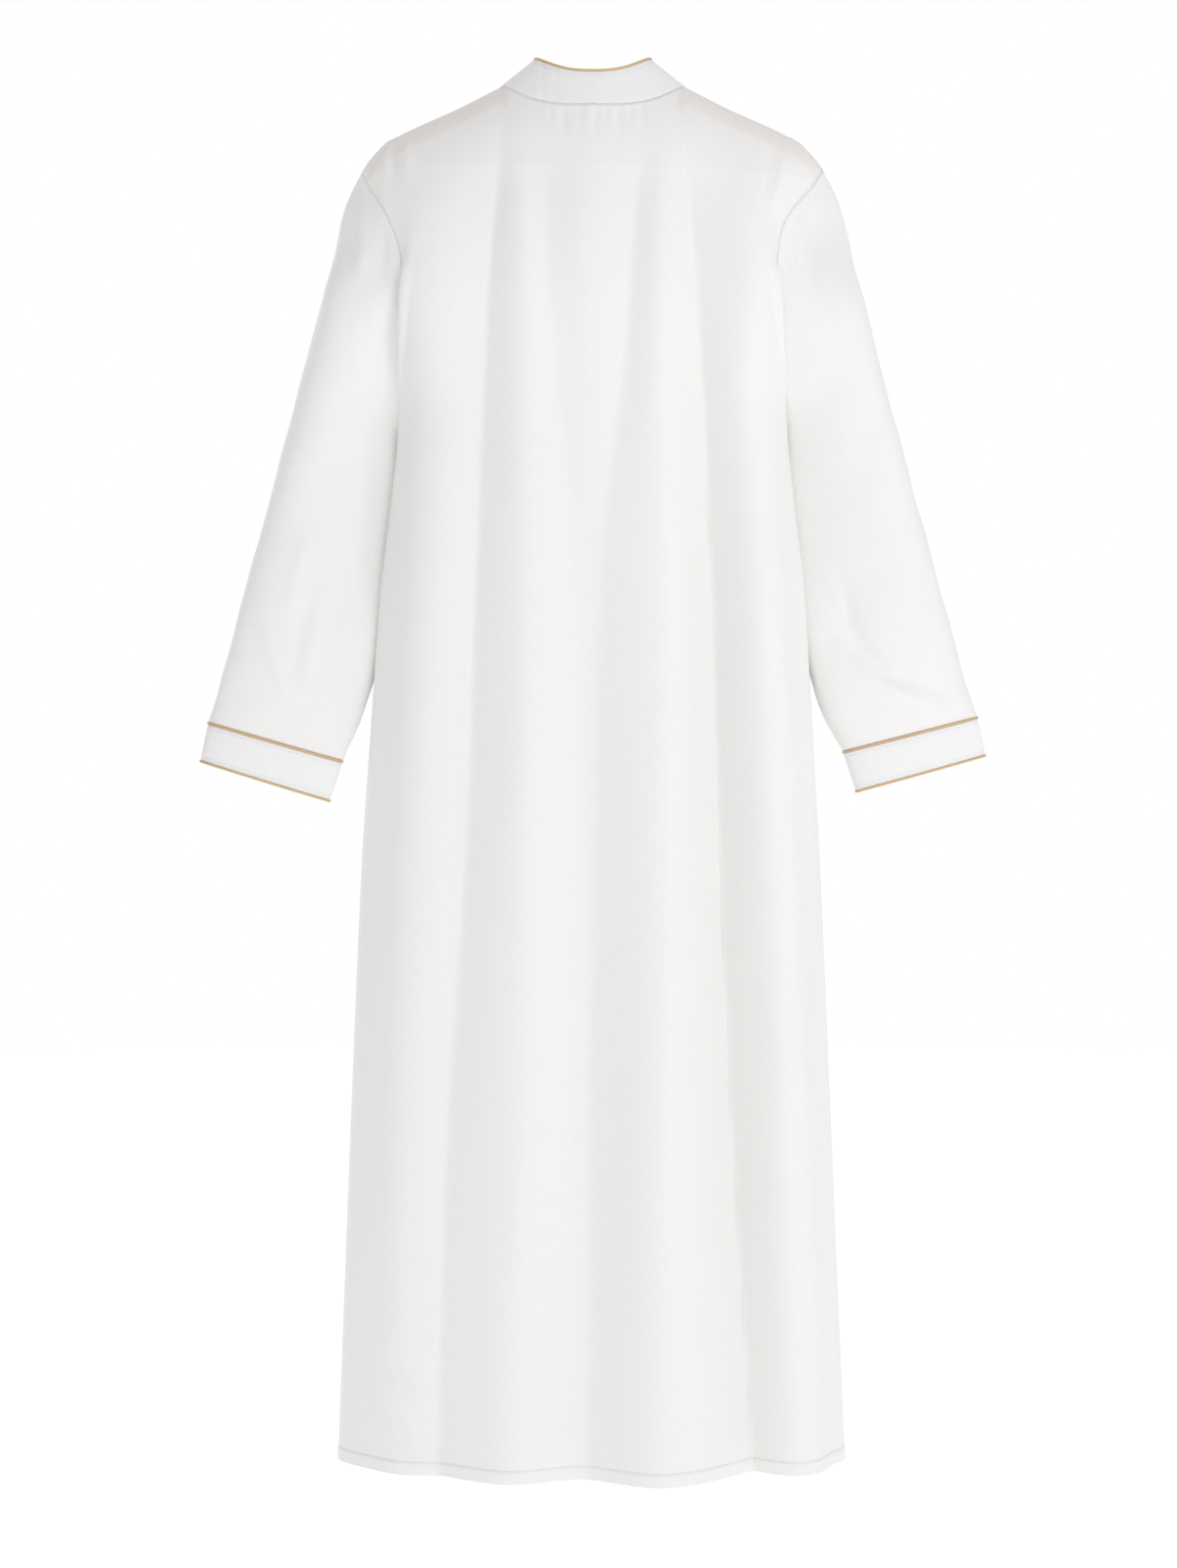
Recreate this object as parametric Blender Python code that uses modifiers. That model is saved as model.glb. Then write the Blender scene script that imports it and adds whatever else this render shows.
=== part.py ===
"""A long white robe (thobe) with a stand collar and corded cuffs, filled out with no wearer.

Metres, +Z up. The front faces -Y and the back faces +Y, so the wearer's left is +X.
The origin is midway between the two points where the collar meets the shoulder seams.
Every panel is an open surface with a Solidify modifier, and the body's surfaces come from one
height field: horizontal sections with a round shoulder, cut by the neckline and the armholes.
"""
import math
from typing import NamedTuple

import bpy

# ---- Driving sizes ----
SHOULDER_X = 0.2425  # centre to the tip of the shoulder seam
SHOULDER_Z = -0.088
NECK_X = 0.4 * SHOULDER_X  # centre to the collar's foot on the shoulder seam
BACK_NECK_DROP = 0.0327
FRONT_NECK_DROP = 0.082
UNDERARM_X = 0.206
UNDERARM_Z = -0.345
HEM_Z = -1.44

CLOTH = 0.0012  # one layer, with its seam allowances
DOUBLE_CLOTH = 0.002  # collar and cuffs, two layers
FACING_CLOTH = 0.001
SEAM = 0.0005  # half of the room between two panels at a seam
CLEAR = 0.0004  # room between a panel and what lies on it
CORD_RADIUS = 0.0016

COLLAR_TOP_X = 0.0614
COLLAR_TOP_SIDE_Z = 0.0286
COLLAR_TOP_SIDE_Y = -0.002
COLLAR_TOP_BACK = (0.055, 0.0056)  # y, z at the centre back
COLLAR_TOP_FRONT = (-0.078, -0.040)  # y, z at the centre front
COLLAR_PLAN_POWER = 2.2
COLLAR_GAP_X = 0.003  # from the centre front to each end of the collar

YOKE_Z = -0.099  # the level lower edge of the inner yoke
PLACKET_HALF_WIDTH = 0.016
PLACKET_Z = -0.40
BUTTON_RADIUS = 0.006
BUTTON_THICKNESS = 0.0024
BUTTON_LEVELS = (-0.115, -0.185, -0.255, -0.325)

# ---- How finely each piece is divided ----
BACK_COLUMNS = 20  # from the centre to the side
FRONT_COLUMNS = 15
ARMHOLE_ROWS = (0.0, 0.035, 0.09, 0.165, 0.26, 0.37, 0.49, 0.62, 0.75, 0.88, 1.0)
SKIRT_ROWS = 10
YOKE_ROWS = (0.12, 0.35, 0.65, 1.0)  # shares of the way down the yoke
YOKE_SHORT_COLUMNS = 2  # columns of the back, at each side, that the yoke doesn't reach
SLEEVE_STEPS = 2  # rings between two rows of the sleeve's table


class Section(NamedTuple):
    """The body's horizontal section at one height."""

    z: float
    half_width: float
    back_depth: float
    front_depth: float
    squareness: float  # power of the superellipse
    side_pinch: float  # how far the side seam lies inside the widest place
    edge_roll: float  # share by which the armhole's edge turns in behind the side fold


BODY = (
    Section(0.000, 0.2500, 0.105, 0.100, 2.60, 0.000, 0.00),
    Section(-0.140, 0.2420, 0.110, 0.110, 2.60, 0.000, 0.05),
    Section(-0.230, 0.2340, 0.112, 0.116, 2.60, 0.000, 0.30),
    Section(-0.290, 0.2185, 0.112, 0.118, 2.55, 0.000, 0.30),
    Section(UNDERARM_Z, UNDERARM_X, 0.112, 0.118, 2.50, 0.000, 0.00),
    Section(-0.436, 0.2135, 0.113, 0.117, 2.40, 0.006, 0.00),
    Section(-0.527, 0.2245, 0.114, 0.116, 2.35, 0.009, 0.00),
    Section(-0.630, 0.2305, 0.116, 0.116, 2.30, 0.007, 0.00),
    Section(-0.795, 0.2387, 0.121, 0.119, 2.20, 0.002, 0.00),
    Section(-1.042, 0.2495, 0.129, 0.127, 2.05, 0.000, 0.00),
    Section(-1.263, 0.2590, 0.136, 0.133, 1.93, 0.000, 0.00),
    Section(HEM_Z, 0.2665, 0.142, 0.138, 1.85, 0.000, 0.00),
)


PINCH_WIDTH = 0.12  # share of the half panel that the side seam's pinch takes
ROLL_WIDTH = 0.16  # share of the half panel that the side fold's turn takes


class Ridge(NamedTuple):
    """A point of the shoulder line. Inside the collar it only shapes the slope below."""

    x: float
    z: float
    rounding: float  # height over which the shoulder turns down


SHOULDER = (
    Ridge(0.000, 0.048, 0.30),
    Ridge(NECK_X, 0.000, 0.24),
    Ridge(0.140, -0.022, 0.21),
    Ridge(0.184, -0.0415, 0.18),
    Ridge(0.204, -0.051, 0.17),
    Ridge(0.217, -0.0575, 0.16),
    Ridge(0.226, -0.0665, 0.16),
    Ridge(0.236, -0.078, 0.16),
    Ridge(SHOULDER_X, SHOULDER_Z, 0.16),
)


class Armhole(NamedTuple):
    """Where the armhole's edge lies, from the shoulder (0) to the underarm (1)."""

    way: float
    x: float


ARMHOLE = (
    Armhole(0.00, SHOULDER_X),
    Armhole(0.09, 0.2330),
    Armhole(0.20, 0.2165),
    Armhole(0.38, 0.1985),
    Armhole(0.55, 0.1955),
    Armhole(0.78, 0.1985),
    Armhole(0.92, 0.2025),
    Armhole(1.00, UNDERARM_X),
)


class Fold(NamedTuple):
    """A trough that runs down a panel, between two round flutes."""

    top_z: float
    top_x: float
    waist_x: float
    hem_x: float
    top_depth: float
    hem_depth: float
    reach: float  # half the trough's width


FOLD_WAIST_Z = -0.73
BACK_FOLDS = (
    Fold(-0.13, 0.107, 0.125, 0.149, 0.004, 0.013, 0.022),
    Fold(-0.13, 0.035, 0.018, 0.012, 0.003, 0.000, 0.018),
    Fold(-0.13, -0.035, -0.008, 0.007, 0.004, 0.014, 0.022),
    Fold(-0.13, -0.110, -0.132, -0.151, 0.004, 0.014, 0.022),
)
FRONT_FOLDS = (
    Fold(-0.42, 0.135, 0.142, 0.160, 0.003, 0.012, 0.022),
    Fold(-0.45, 0.048, 0.055, 0.062, 0.002, 0.014, 0.024),
    Fold(-0.50, -0.060, -0.052, -0.048, 0.002, 0.012, 0.022),
    Fold(-0.40, -0.128, -0.140, -0.158, 0.003, 0.013, 0.022),
)


class SleeveRing(NamedTuple):
    """The sleeve's cross-section: its outer and inner points, and half its depth in Y."""

    outer_x: float
    outer_z: float
    inner_x: float
    inner_z: float
    half_depth: float


SLEEVE_FROM_SHOULDER = (0.020, -0.045)  # the sleeve's first step out and down, at its top
SLEEVE_FROM_UNDERARM = (0.012, -0.004)  # and at its lowest point
SLEEVE_NARROWING = 0.97  # of its depth in that step
SLEEVE = (
    SleeveRing(0.2810, -0.215, 0.2185, -0.372, 0.078),
    SleeveRing(0.3038, -0.302, 0.2195, -0.402, 0.070),
    SleeveRing(0.3360, -0.421, 0.2225, -0.475, 0.059),
    SleeveRing(0.3715, -0.552, 0.2285, -0.590, 0.046),
    SleeveRing(0.3906, -0.622, 0.2435, -0.657, 0.034),
    SleeveRing(0.4045, -0.667, 0.2630, -0.701, 0.024),
)
CUFF_END = SleeveRing(0.4128, -0.7057, 0.2770, -0.7474, 0.022)


class Finish(NamedTuple):
    colour: tuple
    roughness: float
    metallic: float


FINISHES = {
    "white_cloth": Finish((0.86, 0.86, 0.845, 1.0), 0.8, 0.0),
    "collar_cloth": Finish((0.86, 0.87, 0.88, 1.0), 0.75, 0.0),
    "gold_cord": Finish((0.60, 0.40, 0.22, 1.0), 0.5, 0.0),
    "button": Finish((0.82, 0.80, 0.75, 1.0), 0.3, 0.0),
}


# ---- Curves through the tables ----
def through(table, key, value, at):
    """A smooth curve through one column of a table, level beyond its ends."""
    rows = sorted(table, key=lambda row: getattr(row, key))
    keys = [getattr(row, key) for row in rows]
    values = [getattr(row, value) for row in rows]
    if at <= keys[0]:
        return values[0]
    if at >= keys[-1]:
        return values[-1]
    last = len(keys) - 1
    i = max(k for k in range(last) if keys[k] <= at)

    def slope(k):
        a, b = max(k - 1, 0), min(k + 1, last)
        return (values[b] - values[a]) / (keys[b] - keys[a])

    step = keys[i + 1] - keys[i]
    s = (at - keys[i]) / step
    return (
        values[i] * (1 + 2 * s) * (1 - s) ** 2
        + values[i + 1] * s * s * (3 - 2 * s)
        + slope(i) * step * s * (1 - s) ** 2
        - slope(i + 1) * step * s * s * (1 - s)
    )


def mix(a, b, share):
    return a + (b - a) * share


def ease(share):
    share = min(max(share, 0.0), 1.0)
    return share * share * (3 - 2 * share)


# ---- The body as a height field ----
def fold_depth(folds, x, z):
    """How far the cloth lies inside its smooth form at a place."""
    depth = 0.0
    for fold in folds:
        if z > fold.top_z:
            continue
        above = ease((fold.top_z - z) / (fold.top_z - FOLD_WAIST_Z))
        below = min(max((FOLD_WAIST_Z - z) / (FOLD_WAIST_Z - HEM_Z), 0.0), 1.0)
        centre = mix(mix(fold.top_x, fold.waist_x, above), fold.hem_x, below)
        starting = ease((fold.top_z - z) / 0.15)
        amount = mix(fold.top_depth, fold.hem_depth, (fold.top_z - z) / (fold.top_z - HEM_Z))
        depth += starting * amount / (1 + ((x - centre) / fold.reach) ** 2)
    return depth


def body_y(side, x, z):
    """The body's surface: side is 1 for the back and -1 for the front."""
    half_width = through(BODY, "z", "half_width", z)
    power = through(BODY, "z", "squareness", z)
    depth = through(BODY, "z", "back_depth" if side > 0 else "front_depth", z)
    out = min(abs(x) / half_width, 1.0)
    ridge = through(SHOULDER, "x", "z", abs(x))
    rounding = through(SHOULDER, "x", "rounding", abs(x))
    below = min(max((ridge - z) / rounding, 0.0), 1.0)
    form = depth * (1 - out**power) ** (1 / power) * math.sqrt(1 - (1 - below) ** 2)
    folds = BACK_FOLDS if side > 0 else FRONT_FOLDS
    inside = fold_depth(folds, x, z) * (1 - out**6) * ease(form / 0.05)
    return side * (form - inside)


def neckline_z(side, x):
    """The height of the collar seam."""
    out = min(abs(x) / NECK_X, 1.0)
    if side > 0:
        return -BACK_NECK_DROP * (1 - out**3)
    return -FRONT_NECK_DROP * (1 - out**2)


def top_z(side, x):
    """The height of a panel's upper edge: the collar seam, then the shoulder seam."""
    if abs(x) < NECK_X:
        return neckline_z(side, x)
    return through(SHOULDER, "x", "z", abs(x))


def panel_point(side, across, way):
    """A point of a body panel.

    across runs from -1 to 1 between the edges. way is 0 at the top edge, 1 at the level of
    the underarm and 2 at the hem.
    """
    f = abs(across)
    spread = mix(f, math.sin(f * math.pi / 2), ease(way))
    if way <= 1:
        x = through(ARMHOLE, "way", "x", way) * spread
        z = mix(top_z(side, f * SHOULDER_X), UNDERARM_Z, way)
        pinch = 0.0
    else:
        z = mix(UNDERARM_Z, HEM_Z, way - 1)
        x = through(BODY, "z", "half_width", z) * spread
        pinch = through(BODY, "z", "side_pinch", z) * math.exp(-(((1 - f) / PINCH_WIDTH) ** 2))
    x = math.copysign(x, across)
    edge = max(1 - (1 - f) / ROLL_WIDTH, 0.0)
    y = body_y(side, x, z) * (1 - through(BODY, "z", "edge_roll", z) * edge**2)
    if abs(y) < SEAM:
        y = side * SEAM
    return (x - math.copysign(pinch, across), y, z)


def rows_of_panel():
    return ARMHOLE_ROWS + tuple(1 + (k + 1) / SKIRT_ROWS for k in range(SKIRT_ROWS))


# ---- Making objects ----
def clear_scene():
    for obj in list(bpy.data.objects):
        bpy.data.objects.remove(obj, do_unlink=True)
    robe = bpy.data.collections.new("thobe_robe")
    bpy.context.scene.collection.children.link(robe)
    return robe


def make_materials():
    made = {}
    for name, finish in FINISHES.items():
        material = bpy.data.materials.new(name)
        material.use_nodes = True
        shader = material.node_tree.nodes["Principled BSDF"]
        shader.inputs["Base Color"].default_value = finish.colour
        shader.inputs["Roughness"].default_value = finish.roughness
        shader.inputs["Metallic"].default_value = finish.metallic
        made[name] = material
    return made


def add_object(robe, name, data, material):
    obj = bpy.data.objects.new(name, data)
    data.materials.append(material)
    robe.objects.link(obj)
    return obj


def add_cloth(robe, name, rows, material, thickness, outward, closed=False):
    """A cloth wall on a grid of points, whose faces look out of the robe.

    Each row runs anticlockwise seen from above, and the rows run downwards. outward says on
    which side of the points the thickness lies. closed joins each row's ends.
    """
    count = len(rows[0])
    points = [point for row in rows for point in row]
    faces = []
    for r in range(len(rows) - 1):
        for c in range(count if closed else count - 1):
            a, b = r * count + c, r * count + (c + 1) % count
            faces.append((a, a + count, b + count, b))
    mesh = bpy.data.meshes.new(name)
    mesh.from_pydata(points, [], faces)
    mesh.validate()
    mesh.shade_smooth()
    obj = add_object(robe, name, mesh, material)
    wall = obj.modifiers.new("Wall", "SOLIDIFY")
    wall.thickness = thickness
    wall.offset = 1 if outward else -1
    return obj


def add_cord(robe, name, path, material, closed):
    """Round piping along a path."""
    curve = bpy.data.curves.new(name, "CURVE")
    curve.dimensions = "3D"
    curve.bevel_depth = CORD_RADIUS
    curve.bevel_resolution = 2
    curve.use_fill_caps = not closed
    line = curve.splines.new("POLY")
    line.points.add(len(path) - 1)
    for point, place in zip(line.points, path):
        point.co = (*place, 1.0)
    line.use_cyclic_u = closed
    return add_object(robe, name, curve, material)


# ---- The pieces ----
def add_panel(robe, name, side, columns, material):
    """The front or the back, neck to hem."""
    rows = []
    for way in rows_of_panel():
        row = [panel_point(side, c / columns, way) for c in range(-columns, columns + 1)]
        rows.append(row[::-1] if side > 0 else row)
    return add_cloth(robe, name, rows, material, CLOTH, outward=True)


def normal_at(side, x, z):
    """The unit normal of the body's surface, pointing out."""
    step = 0.002
    slope_x = (body_y(side, x + step, z) - body_y(side, x - step, z)) / (2 * step)
    slope_z = (body_y(side, x, z + step) - body_y(side, x, z - step)) / (2 * step)
    length = math.sqrt(1 + slope_x**2 + slope_z**2)
    return (-side * slope_x / length, side / length, -side * slope_z / length)


def moved_out(point, side, distance):
    """A panel's point moved along the surface's normal."""
    normal = normal_at(side, point[0], point[2])
    return tuple(p + n * distance for p, n in zip(point, normal))


def facet_point(side, across, way):
    """A point of a panel's flat facets, on one of its columns."""
    upper = max(k for k in range(len(ARMHOLE_ROWS) - 1) if ARMHOLE_ROWS[k] <= way)
    first, second = ARMHOLE_ROWS[upper : upper + 2]
    ends = panel_point(side, across, first), panel_point(side, across, second)
    share = (way - first) / (second - first)
    return tuple(mix(p, q, share) for p, q in zip(*ends))


def add_yoke(robe, material):
    """The inner yoke: a second layer under the back, from the shoulders to a level line."""
    columns = BACK_COLUMNS - YOKE_SHORT_COLUMNS
    rows = []
    for share in YOKE_ROWS:
        row = []
        for c in range(columns, -columns - 1, -1):
            across = c / BACK_COLUMNS
            top = top_z(1, abs(across) * SHOULDER_X)
            way = share * (YOKE_Z - top) / (UNDERARM_Z - top)
            row.append(moved_out(facet_point(1, across, way), 1, -2 * CLEAR))
        rows.append(row)
    return add_cloth(robe, "back_yoke_facing", rows, material, FACING_CLOTH, outward=False)


def armhole_ring(mirror):
    """The armhole's edge: from the shoulder down the back, and up the front."""
    ways = ARMHOLE_ROWS
    back = [panel_point(1, 1.0, way) for way in ways]
    front = [panel_point(-1, 1.0, way) for way in ways[-2:0:-1]]
    ring = []
    for (x, y, z), way in zip(back + front, ways + ways[-2:0:-1]):
        out = 2 * SEAM + CLOTH * way**4
        ring.append((x + out, y if abs(y) > SEAM else 0.0, z))
    return [(mirror * x, y, z) for x, y, z in ring]


def ring_points(ring, count, mirror):
    """An elliptical ring, from its outer point round the back to its inner one."""
    middle = ((ring.outer_x + ring.inner_x) / 2, (ring.outer_z + ring.inner_z) / 2)
    half = ((ring.outer_x - ring.inner_x) / 2, (ring.outer_z - ring.inner_z) / 2)
    points = []
    for k in range(count):
        angle = 2 * math.pi * k / count
        x = middle[0] + half[0] * math.cos(angle)
        z = middle[1] + half[1] * math.cos(angle)
        points.append((mirror * x, ring.half_depth * math.sin(angle), z))
    return points


def first_ring(start, mirror):
    """The armhole's ring moved out and down, as the sleeve leaves the body."""
    count = len(start)
    ring = []
    for k, (x, y, z) in enumerate(start):
        low = (1 - math.cos(2 * math.pi * k / count)) / 2
        out, down = (mix(a, b, low) for a, b in zip(SLEEVE_FROM_SHOULDER, SLEEVE_FROM_UNDERARM))
        ring.append((x + mirror * out, SLEEVE_NARROWING * y, z + down))
    return ring


def smooth_rings(rings, steps):
    """More rings, on Catmull-Rom curves through the given ones."""
    last = len(rings) - 1
    made = []
    for i in range(last):
        near = [rings[min(max(i + k, 0), last)] for k in (-1, 0, 1, 2)]
        for s in (k / steps for k in range(steps)):
            weights = (
                (-s + 2 * s**2 - s**3) / 2,
                (2 - 5 * s**2 + 3 * s**3) / 2,
                (s + 4 * s**2 - 3 * s**3) / 2,
                (s**3 - s**2) / 2,
            )
            made.append([
                tuple(sum(w * p[axis] for w, p in zip(weights, four)) for axis in range(3))
                for four in zip(*near)
            ])
    made.append(rings[last])
    return made


def along(first, second, distance):
    """Each point of a ring moved towards the second ring by a distance."""
    moved = []
    for a, b in zip(first, second):
        share = distance / math.dist(a, b)
        moved.append(tuple(mix(p, q, share) for p, q in zip(a, b)))
    return moved


def add_sleeve(robe, side_name, mirror, materials):
    """A sleeve, its cuff and the piping on both edges of the cuff."""
    start = armhole_ring(mirror)
    count = len(start)
    table = [ring_points(ring, count, mirror) for ring in SLEEVE]
    upper = table[-1]
    lower = ring_points(CUFF_END, count, mirror)
    room = CORD_RADIUS + CLEAR
    rings = [start, first_ring(start, mirror)] + table[:-1] + [along(upper, lower, -room)]
    sleeve = smooth_rings(rings, SLEEVE_STEPS)
    cuff = [along(upper, lower, room), along(lower, upper, room)]
    if mirror < 0:
        sleeve = [ring[::-1] for ring in sleeve]
        cuff = [ring[::-1] for ring in cuff]
    cloth, band, cord = (materials[n] for n in ("white_cloth", "collar_cloth", "gold_cord"))
    add_cloth(robe, f"sleeve_{side_name}", sleeve, cloth, CLOTH, outward=False, closed=True)
    add_cloth(robe, f"cuff_{side_name}", cuff, band, DOUBLE_CLOTH, outward=False, closed=True)
    add_cord(robe, f"cuff_piping_upper_{side_name}", upper, cord, closed=True)
    add_cord(robe, f"cuff_piping_lower_{side_name}", lower, cord, closed=True)


def collar_foot(side, x):
    z = neckline_z(side, x)
    return (x, body_y(side, x, z), z)


def collar_top(side, x):
    """The collar's upper edge above a point of its foot."""
    out = abs(x) / NECK_X
    y_end, z_end = COLLAR_TOP_BACK if side > 0 else COLLAR_TOP_FRONT
    plan = (1 - out**COLLAR_PLAN_POWER) ** (1 / COLLAR_PLAN_POWER)
    y = mix(COLLAR_TOP_SIDE_Y, y_end, plan)
    z = mix(z_end, COLLAR_TOP_SIDE_Z, out ** (2.4 if side > 0 else 1.8))
    return (x * COLLAR_TOP_X / NECK_X, y, z)


def collar_places():
    """The places round the collar, from one end at the front to the other."""
    steps = 9
    shares = [math.sin(math.pi / 2 * k / steps) for k in range(steps + 1)]
    shares[0] = COLLAR_GAP_X / NECK_X
    half = [(-1, share * NECK_X) for share in shares]
    half += [(1, share * NECK_X) for share in shares[-2:0:-1]]
    mirrored = [(side, -x) for side, x in half[::-1]]
    return half + [(1, 0.0)] + mirrored


def add_collar(robe, materials):
    """The stand collar and the piping on its upper edge."""
    places = collar_places()
    foot = [collar_foot(*place) for place in places]
    top = [collar_top(*place) for place in places]
    rows = [
        along(top, foot, CORD_RADIUS + CLEAR),
        [tuple((p + q) / 2 for p, q in zip(a, b)) for a, b in zip(top, foot)],
        along(foot, top, 4 * SEAM),
    ]
    add_cloth(robe, "collar", rows, materials["collar_cloth"], DOUBLE_CLOTH, outward=False)
    add_cord(robe, "collar_piping", top, materials["gold_cord"], closed=False)


def add_placket(robe, materials):
    """The band over the front slit and its buttons."""
    rows = []
    for way in rows_of_panel():
        columns = [panel_point(-1, across / FRONT_COLUMNS, way) for across in (-1, 0, 1)]
        if columns[1][2] < PLACKET_Z:
            break
        share = PLACKET_HALF_WIDTH / columns[2][0]
        edges = [tuple(mix(p, q, share) for p, q in zip(columns[1], end)) for end in columns]
        rows.append([moved_out(point, -1, CLOTH + CLEAR) for point in edges])
    add_cloth(robe, "placket", rows, materials["white_cloth"], CLOTH, outward=True)
    for number, level in enumerate(BUTTON_LEVELS, start=1):
        bpy.ops.mesh.primitive_cylinder_add(
            vertices=24, radius=BUTTON_RADIUS, depth=BUTTON_THICKNESS
        )
        button = bpy.context.object
        button.name = f"button_{number}"
        button.data.materials.append(materials["button"])
        nx, ny, nz = normal_at(-1, 0.0, level)
        height = 2 * CLOTH + 3 * CLEAR + BUTTON_THICKNESS / 2
        y = body_y(-1, 0.0, level)
        button.location = (nx * height, y + ny * height, level + nz * height)
        button.rotation_euler = (math.pi / 2 - math.asin(nz), 0.0, 0.0)
        button.data.shade_smooth()
        button.data.set_sharp_from_angle(angle=math.radians(40))
        for collection in list(button.users_collection):
            collection.objects.unlink(button)
        robe.objects.link(button)


def main():
    robe = clear_scene()
    materials = make_materials()
    cloth = materials["white_cloth"]
    add_panel(robe, "back", 1, BACK_COLUMNS, cloth)
    add_panel(robe, "front", -1, FRONT_COLUMNS, cloth)
    add_yoke(robe, cloth)
    add_sleeve(robe, "left", 1, materials)
    add_sleeve(robe, "right", -1, materials)
    add_collar(robe, materials)
    add_placket(robe, materials)


main()
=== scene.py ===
"""A long white robe (thobe) with a stand collar and corded cuffs, filled out with no wearer.

Metres, +Z up. The front faces -Y and the back faces +Y, so the wearer's left is +X. The origin is
midway between the two points where the collar meets the shoulder seams. The body's cloth is a
height field over the X-Z plane, with its folds let into it. The sleeves are lofted through rings.
"""

import logging
import math
from dataclasses import dataclass, field
from enum import Enum
from itertools import pairwise

import bpy
import numpy as np
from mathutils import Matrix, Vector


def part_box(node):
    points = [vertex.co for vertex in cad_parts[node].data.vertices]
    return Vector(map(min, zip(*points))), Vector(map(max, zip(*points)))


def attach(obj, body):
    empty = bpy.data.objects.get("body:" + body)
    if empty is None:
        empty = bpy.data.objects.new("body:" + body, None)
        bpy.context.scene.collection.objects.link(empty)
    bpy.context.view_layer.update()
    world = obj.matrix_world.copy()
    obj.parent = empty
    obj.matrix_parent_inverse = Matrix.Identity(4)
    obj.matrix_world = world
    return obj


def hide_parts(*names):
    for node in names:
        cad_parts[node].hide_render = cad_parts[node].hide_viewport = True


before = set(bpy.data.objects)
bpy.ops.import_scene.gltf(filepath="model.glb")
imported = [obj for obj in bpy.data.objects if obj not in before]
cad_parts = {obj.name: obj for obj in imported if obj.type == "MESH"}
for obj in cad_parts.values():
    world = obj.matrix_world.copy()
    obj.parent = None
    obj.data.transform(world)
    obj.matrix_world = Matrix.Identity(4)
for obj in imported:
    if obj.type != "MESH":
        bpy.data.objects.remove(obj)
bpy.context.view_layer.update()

log = logging.getLogger("robe")

SEED = 11  # of the ripples
STITCH_STAND = 0.0001  # how far a row of stitches stands off the cloth
NO_LAYER = -1.0  # a place far outside any second layer


Array = np.ndarray
Material = bpy.types.Material
Mesh = bpy.types.Mesh
Piece = bpy.types.Object
Socket = bpy.types.NodeSocket
Row = tuple[float, ...]
Pair = tuple[float, float]
Triple = tuple[float, float, float]
Colour = tuple[float, float, float, float]


class Face(Enum):
    """One of the body's two panels. The value is the sign of Y there."""

    BACK = 1
    FRONT = -1


class Side(Enum):
    """One of the wearer's arms. The value is the sign of X there."""

    LEFT = 1
    RIGHT = -1


class Slot(Enum):
    """The finishes that the pieces take, by the names in the record."""

    WHITE_CLOTH = "white_cloth"
    BAND_CLOTH = "band_cloth"
    GOLD_CORD = "gold_cord"
    BUTTON = "button"


# ---- Shapes in numbers ----
def mix(a, b, share):
    """Goes from a to b as share goes from 0 to 1."""
    return a + (b - a) * share


def ease(share: Array) -> Array:
    """Goes smoothly from 0 to 1 as share does, and stays level beyond."""
    share = np.clip(share, 0.0, 1.0)
    return share * share * (3 - 2 * share)


def groove(away: Array, depth: float, width: float) -> Array:
    """Gives the depth of a soft groove at distances away from its middle."""
    return depth * np.exp(-((away / width) ** 2))


def unit(vectors: Array) -> Array:
    """Gives the vectors a length of one."""
    return vectors / np.maximum(np.linalg.norm(vectors, axis=-1, keepdims=True), 1e-9)


@dataclass(frozen=True)
class Curve:
    """A smooth curve through values at rising places, level beyond its ends."""

    places: Row
    values: Row

    def at(self, place: Array) -> Array:
        """Reads the curve.

        Args:
            place: where to read it, of any shape.

        Returns:
            The values there.
        """
        keys, values = np.array(self.places), np.array(self.values)
        last = len(keys) - 1
        before, after = np.maximum(np.arange(last + 1) - 1, 0), np.minimum(np.arange(last + 1) + 1, last)
        slopes = (values[after] - values[before]) / (keys[after] - keys[before])
        place = np.clip(place, keys[0], keys[-1])
        i = np.clip(np.searchsorted(keys, place, side="right") - 1, 0, last - 1)
        step = keys[i + 1] - keys[i]
        s = (place - keys[i]) / step
        ends = values[i] * (1 + 2 * s) * (1 - s) ** 2 + values[i + 1] * s * s * (3 - 2 * s)
        return ends + slopes[i] * step * s * (1 - s) ** 2 - slopes[i + 1] * step * s * s * (1 - s)


@dataclass(frozen=True)
class Crease:
    """A crease along a path in the X-Z plane: a valley, or a ridge if its depth is negative."""

    path: tuple[Pair, ...]
    depth: float
    reach: float  # half its width
    fade: Pair = (0.3, 0.4)  # shares of the path over which it comes and goes

    def depth_at(self, x: Array, z: Array) -> Array:
        """Works out how deep the crease is at places.

        Args:
            x: where they are across.
            z: how high they are.

        Returns:
            The depth at each place.
        """
        lengths = [math.dist(a, b) for a, b in pairwise(self.path)]
        near = np.full(x.shape, 1e9)
        way = np.zeros(x.shape)
        walked = 0.0
        for (a, b), length in zip(pairwise(self.path), lengths):
            dx, dz = b[0] - a[0], b[1] - a[1]
            share = np.clip(((x - a[0]) * dx + (z - a[1]) * dz) / length**2, 0, 1)
            away = np.hypot(x - a[0] - share * dx, z - a[1] - share * dz)
            closer = away < near
            near = np.where(closer, away, near)
            way = np.where(closer, (walked + share * length) / sum(lengths), way)
            walked += length
        comes, goes = (max(share, 1e-6) for share in self.fade)
        amount = self.depth * ease(way / comes) * ease((1 - way) / goes)
        return amount / (1 + (near / self.reach) ** 2) ** 1.5


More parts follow.
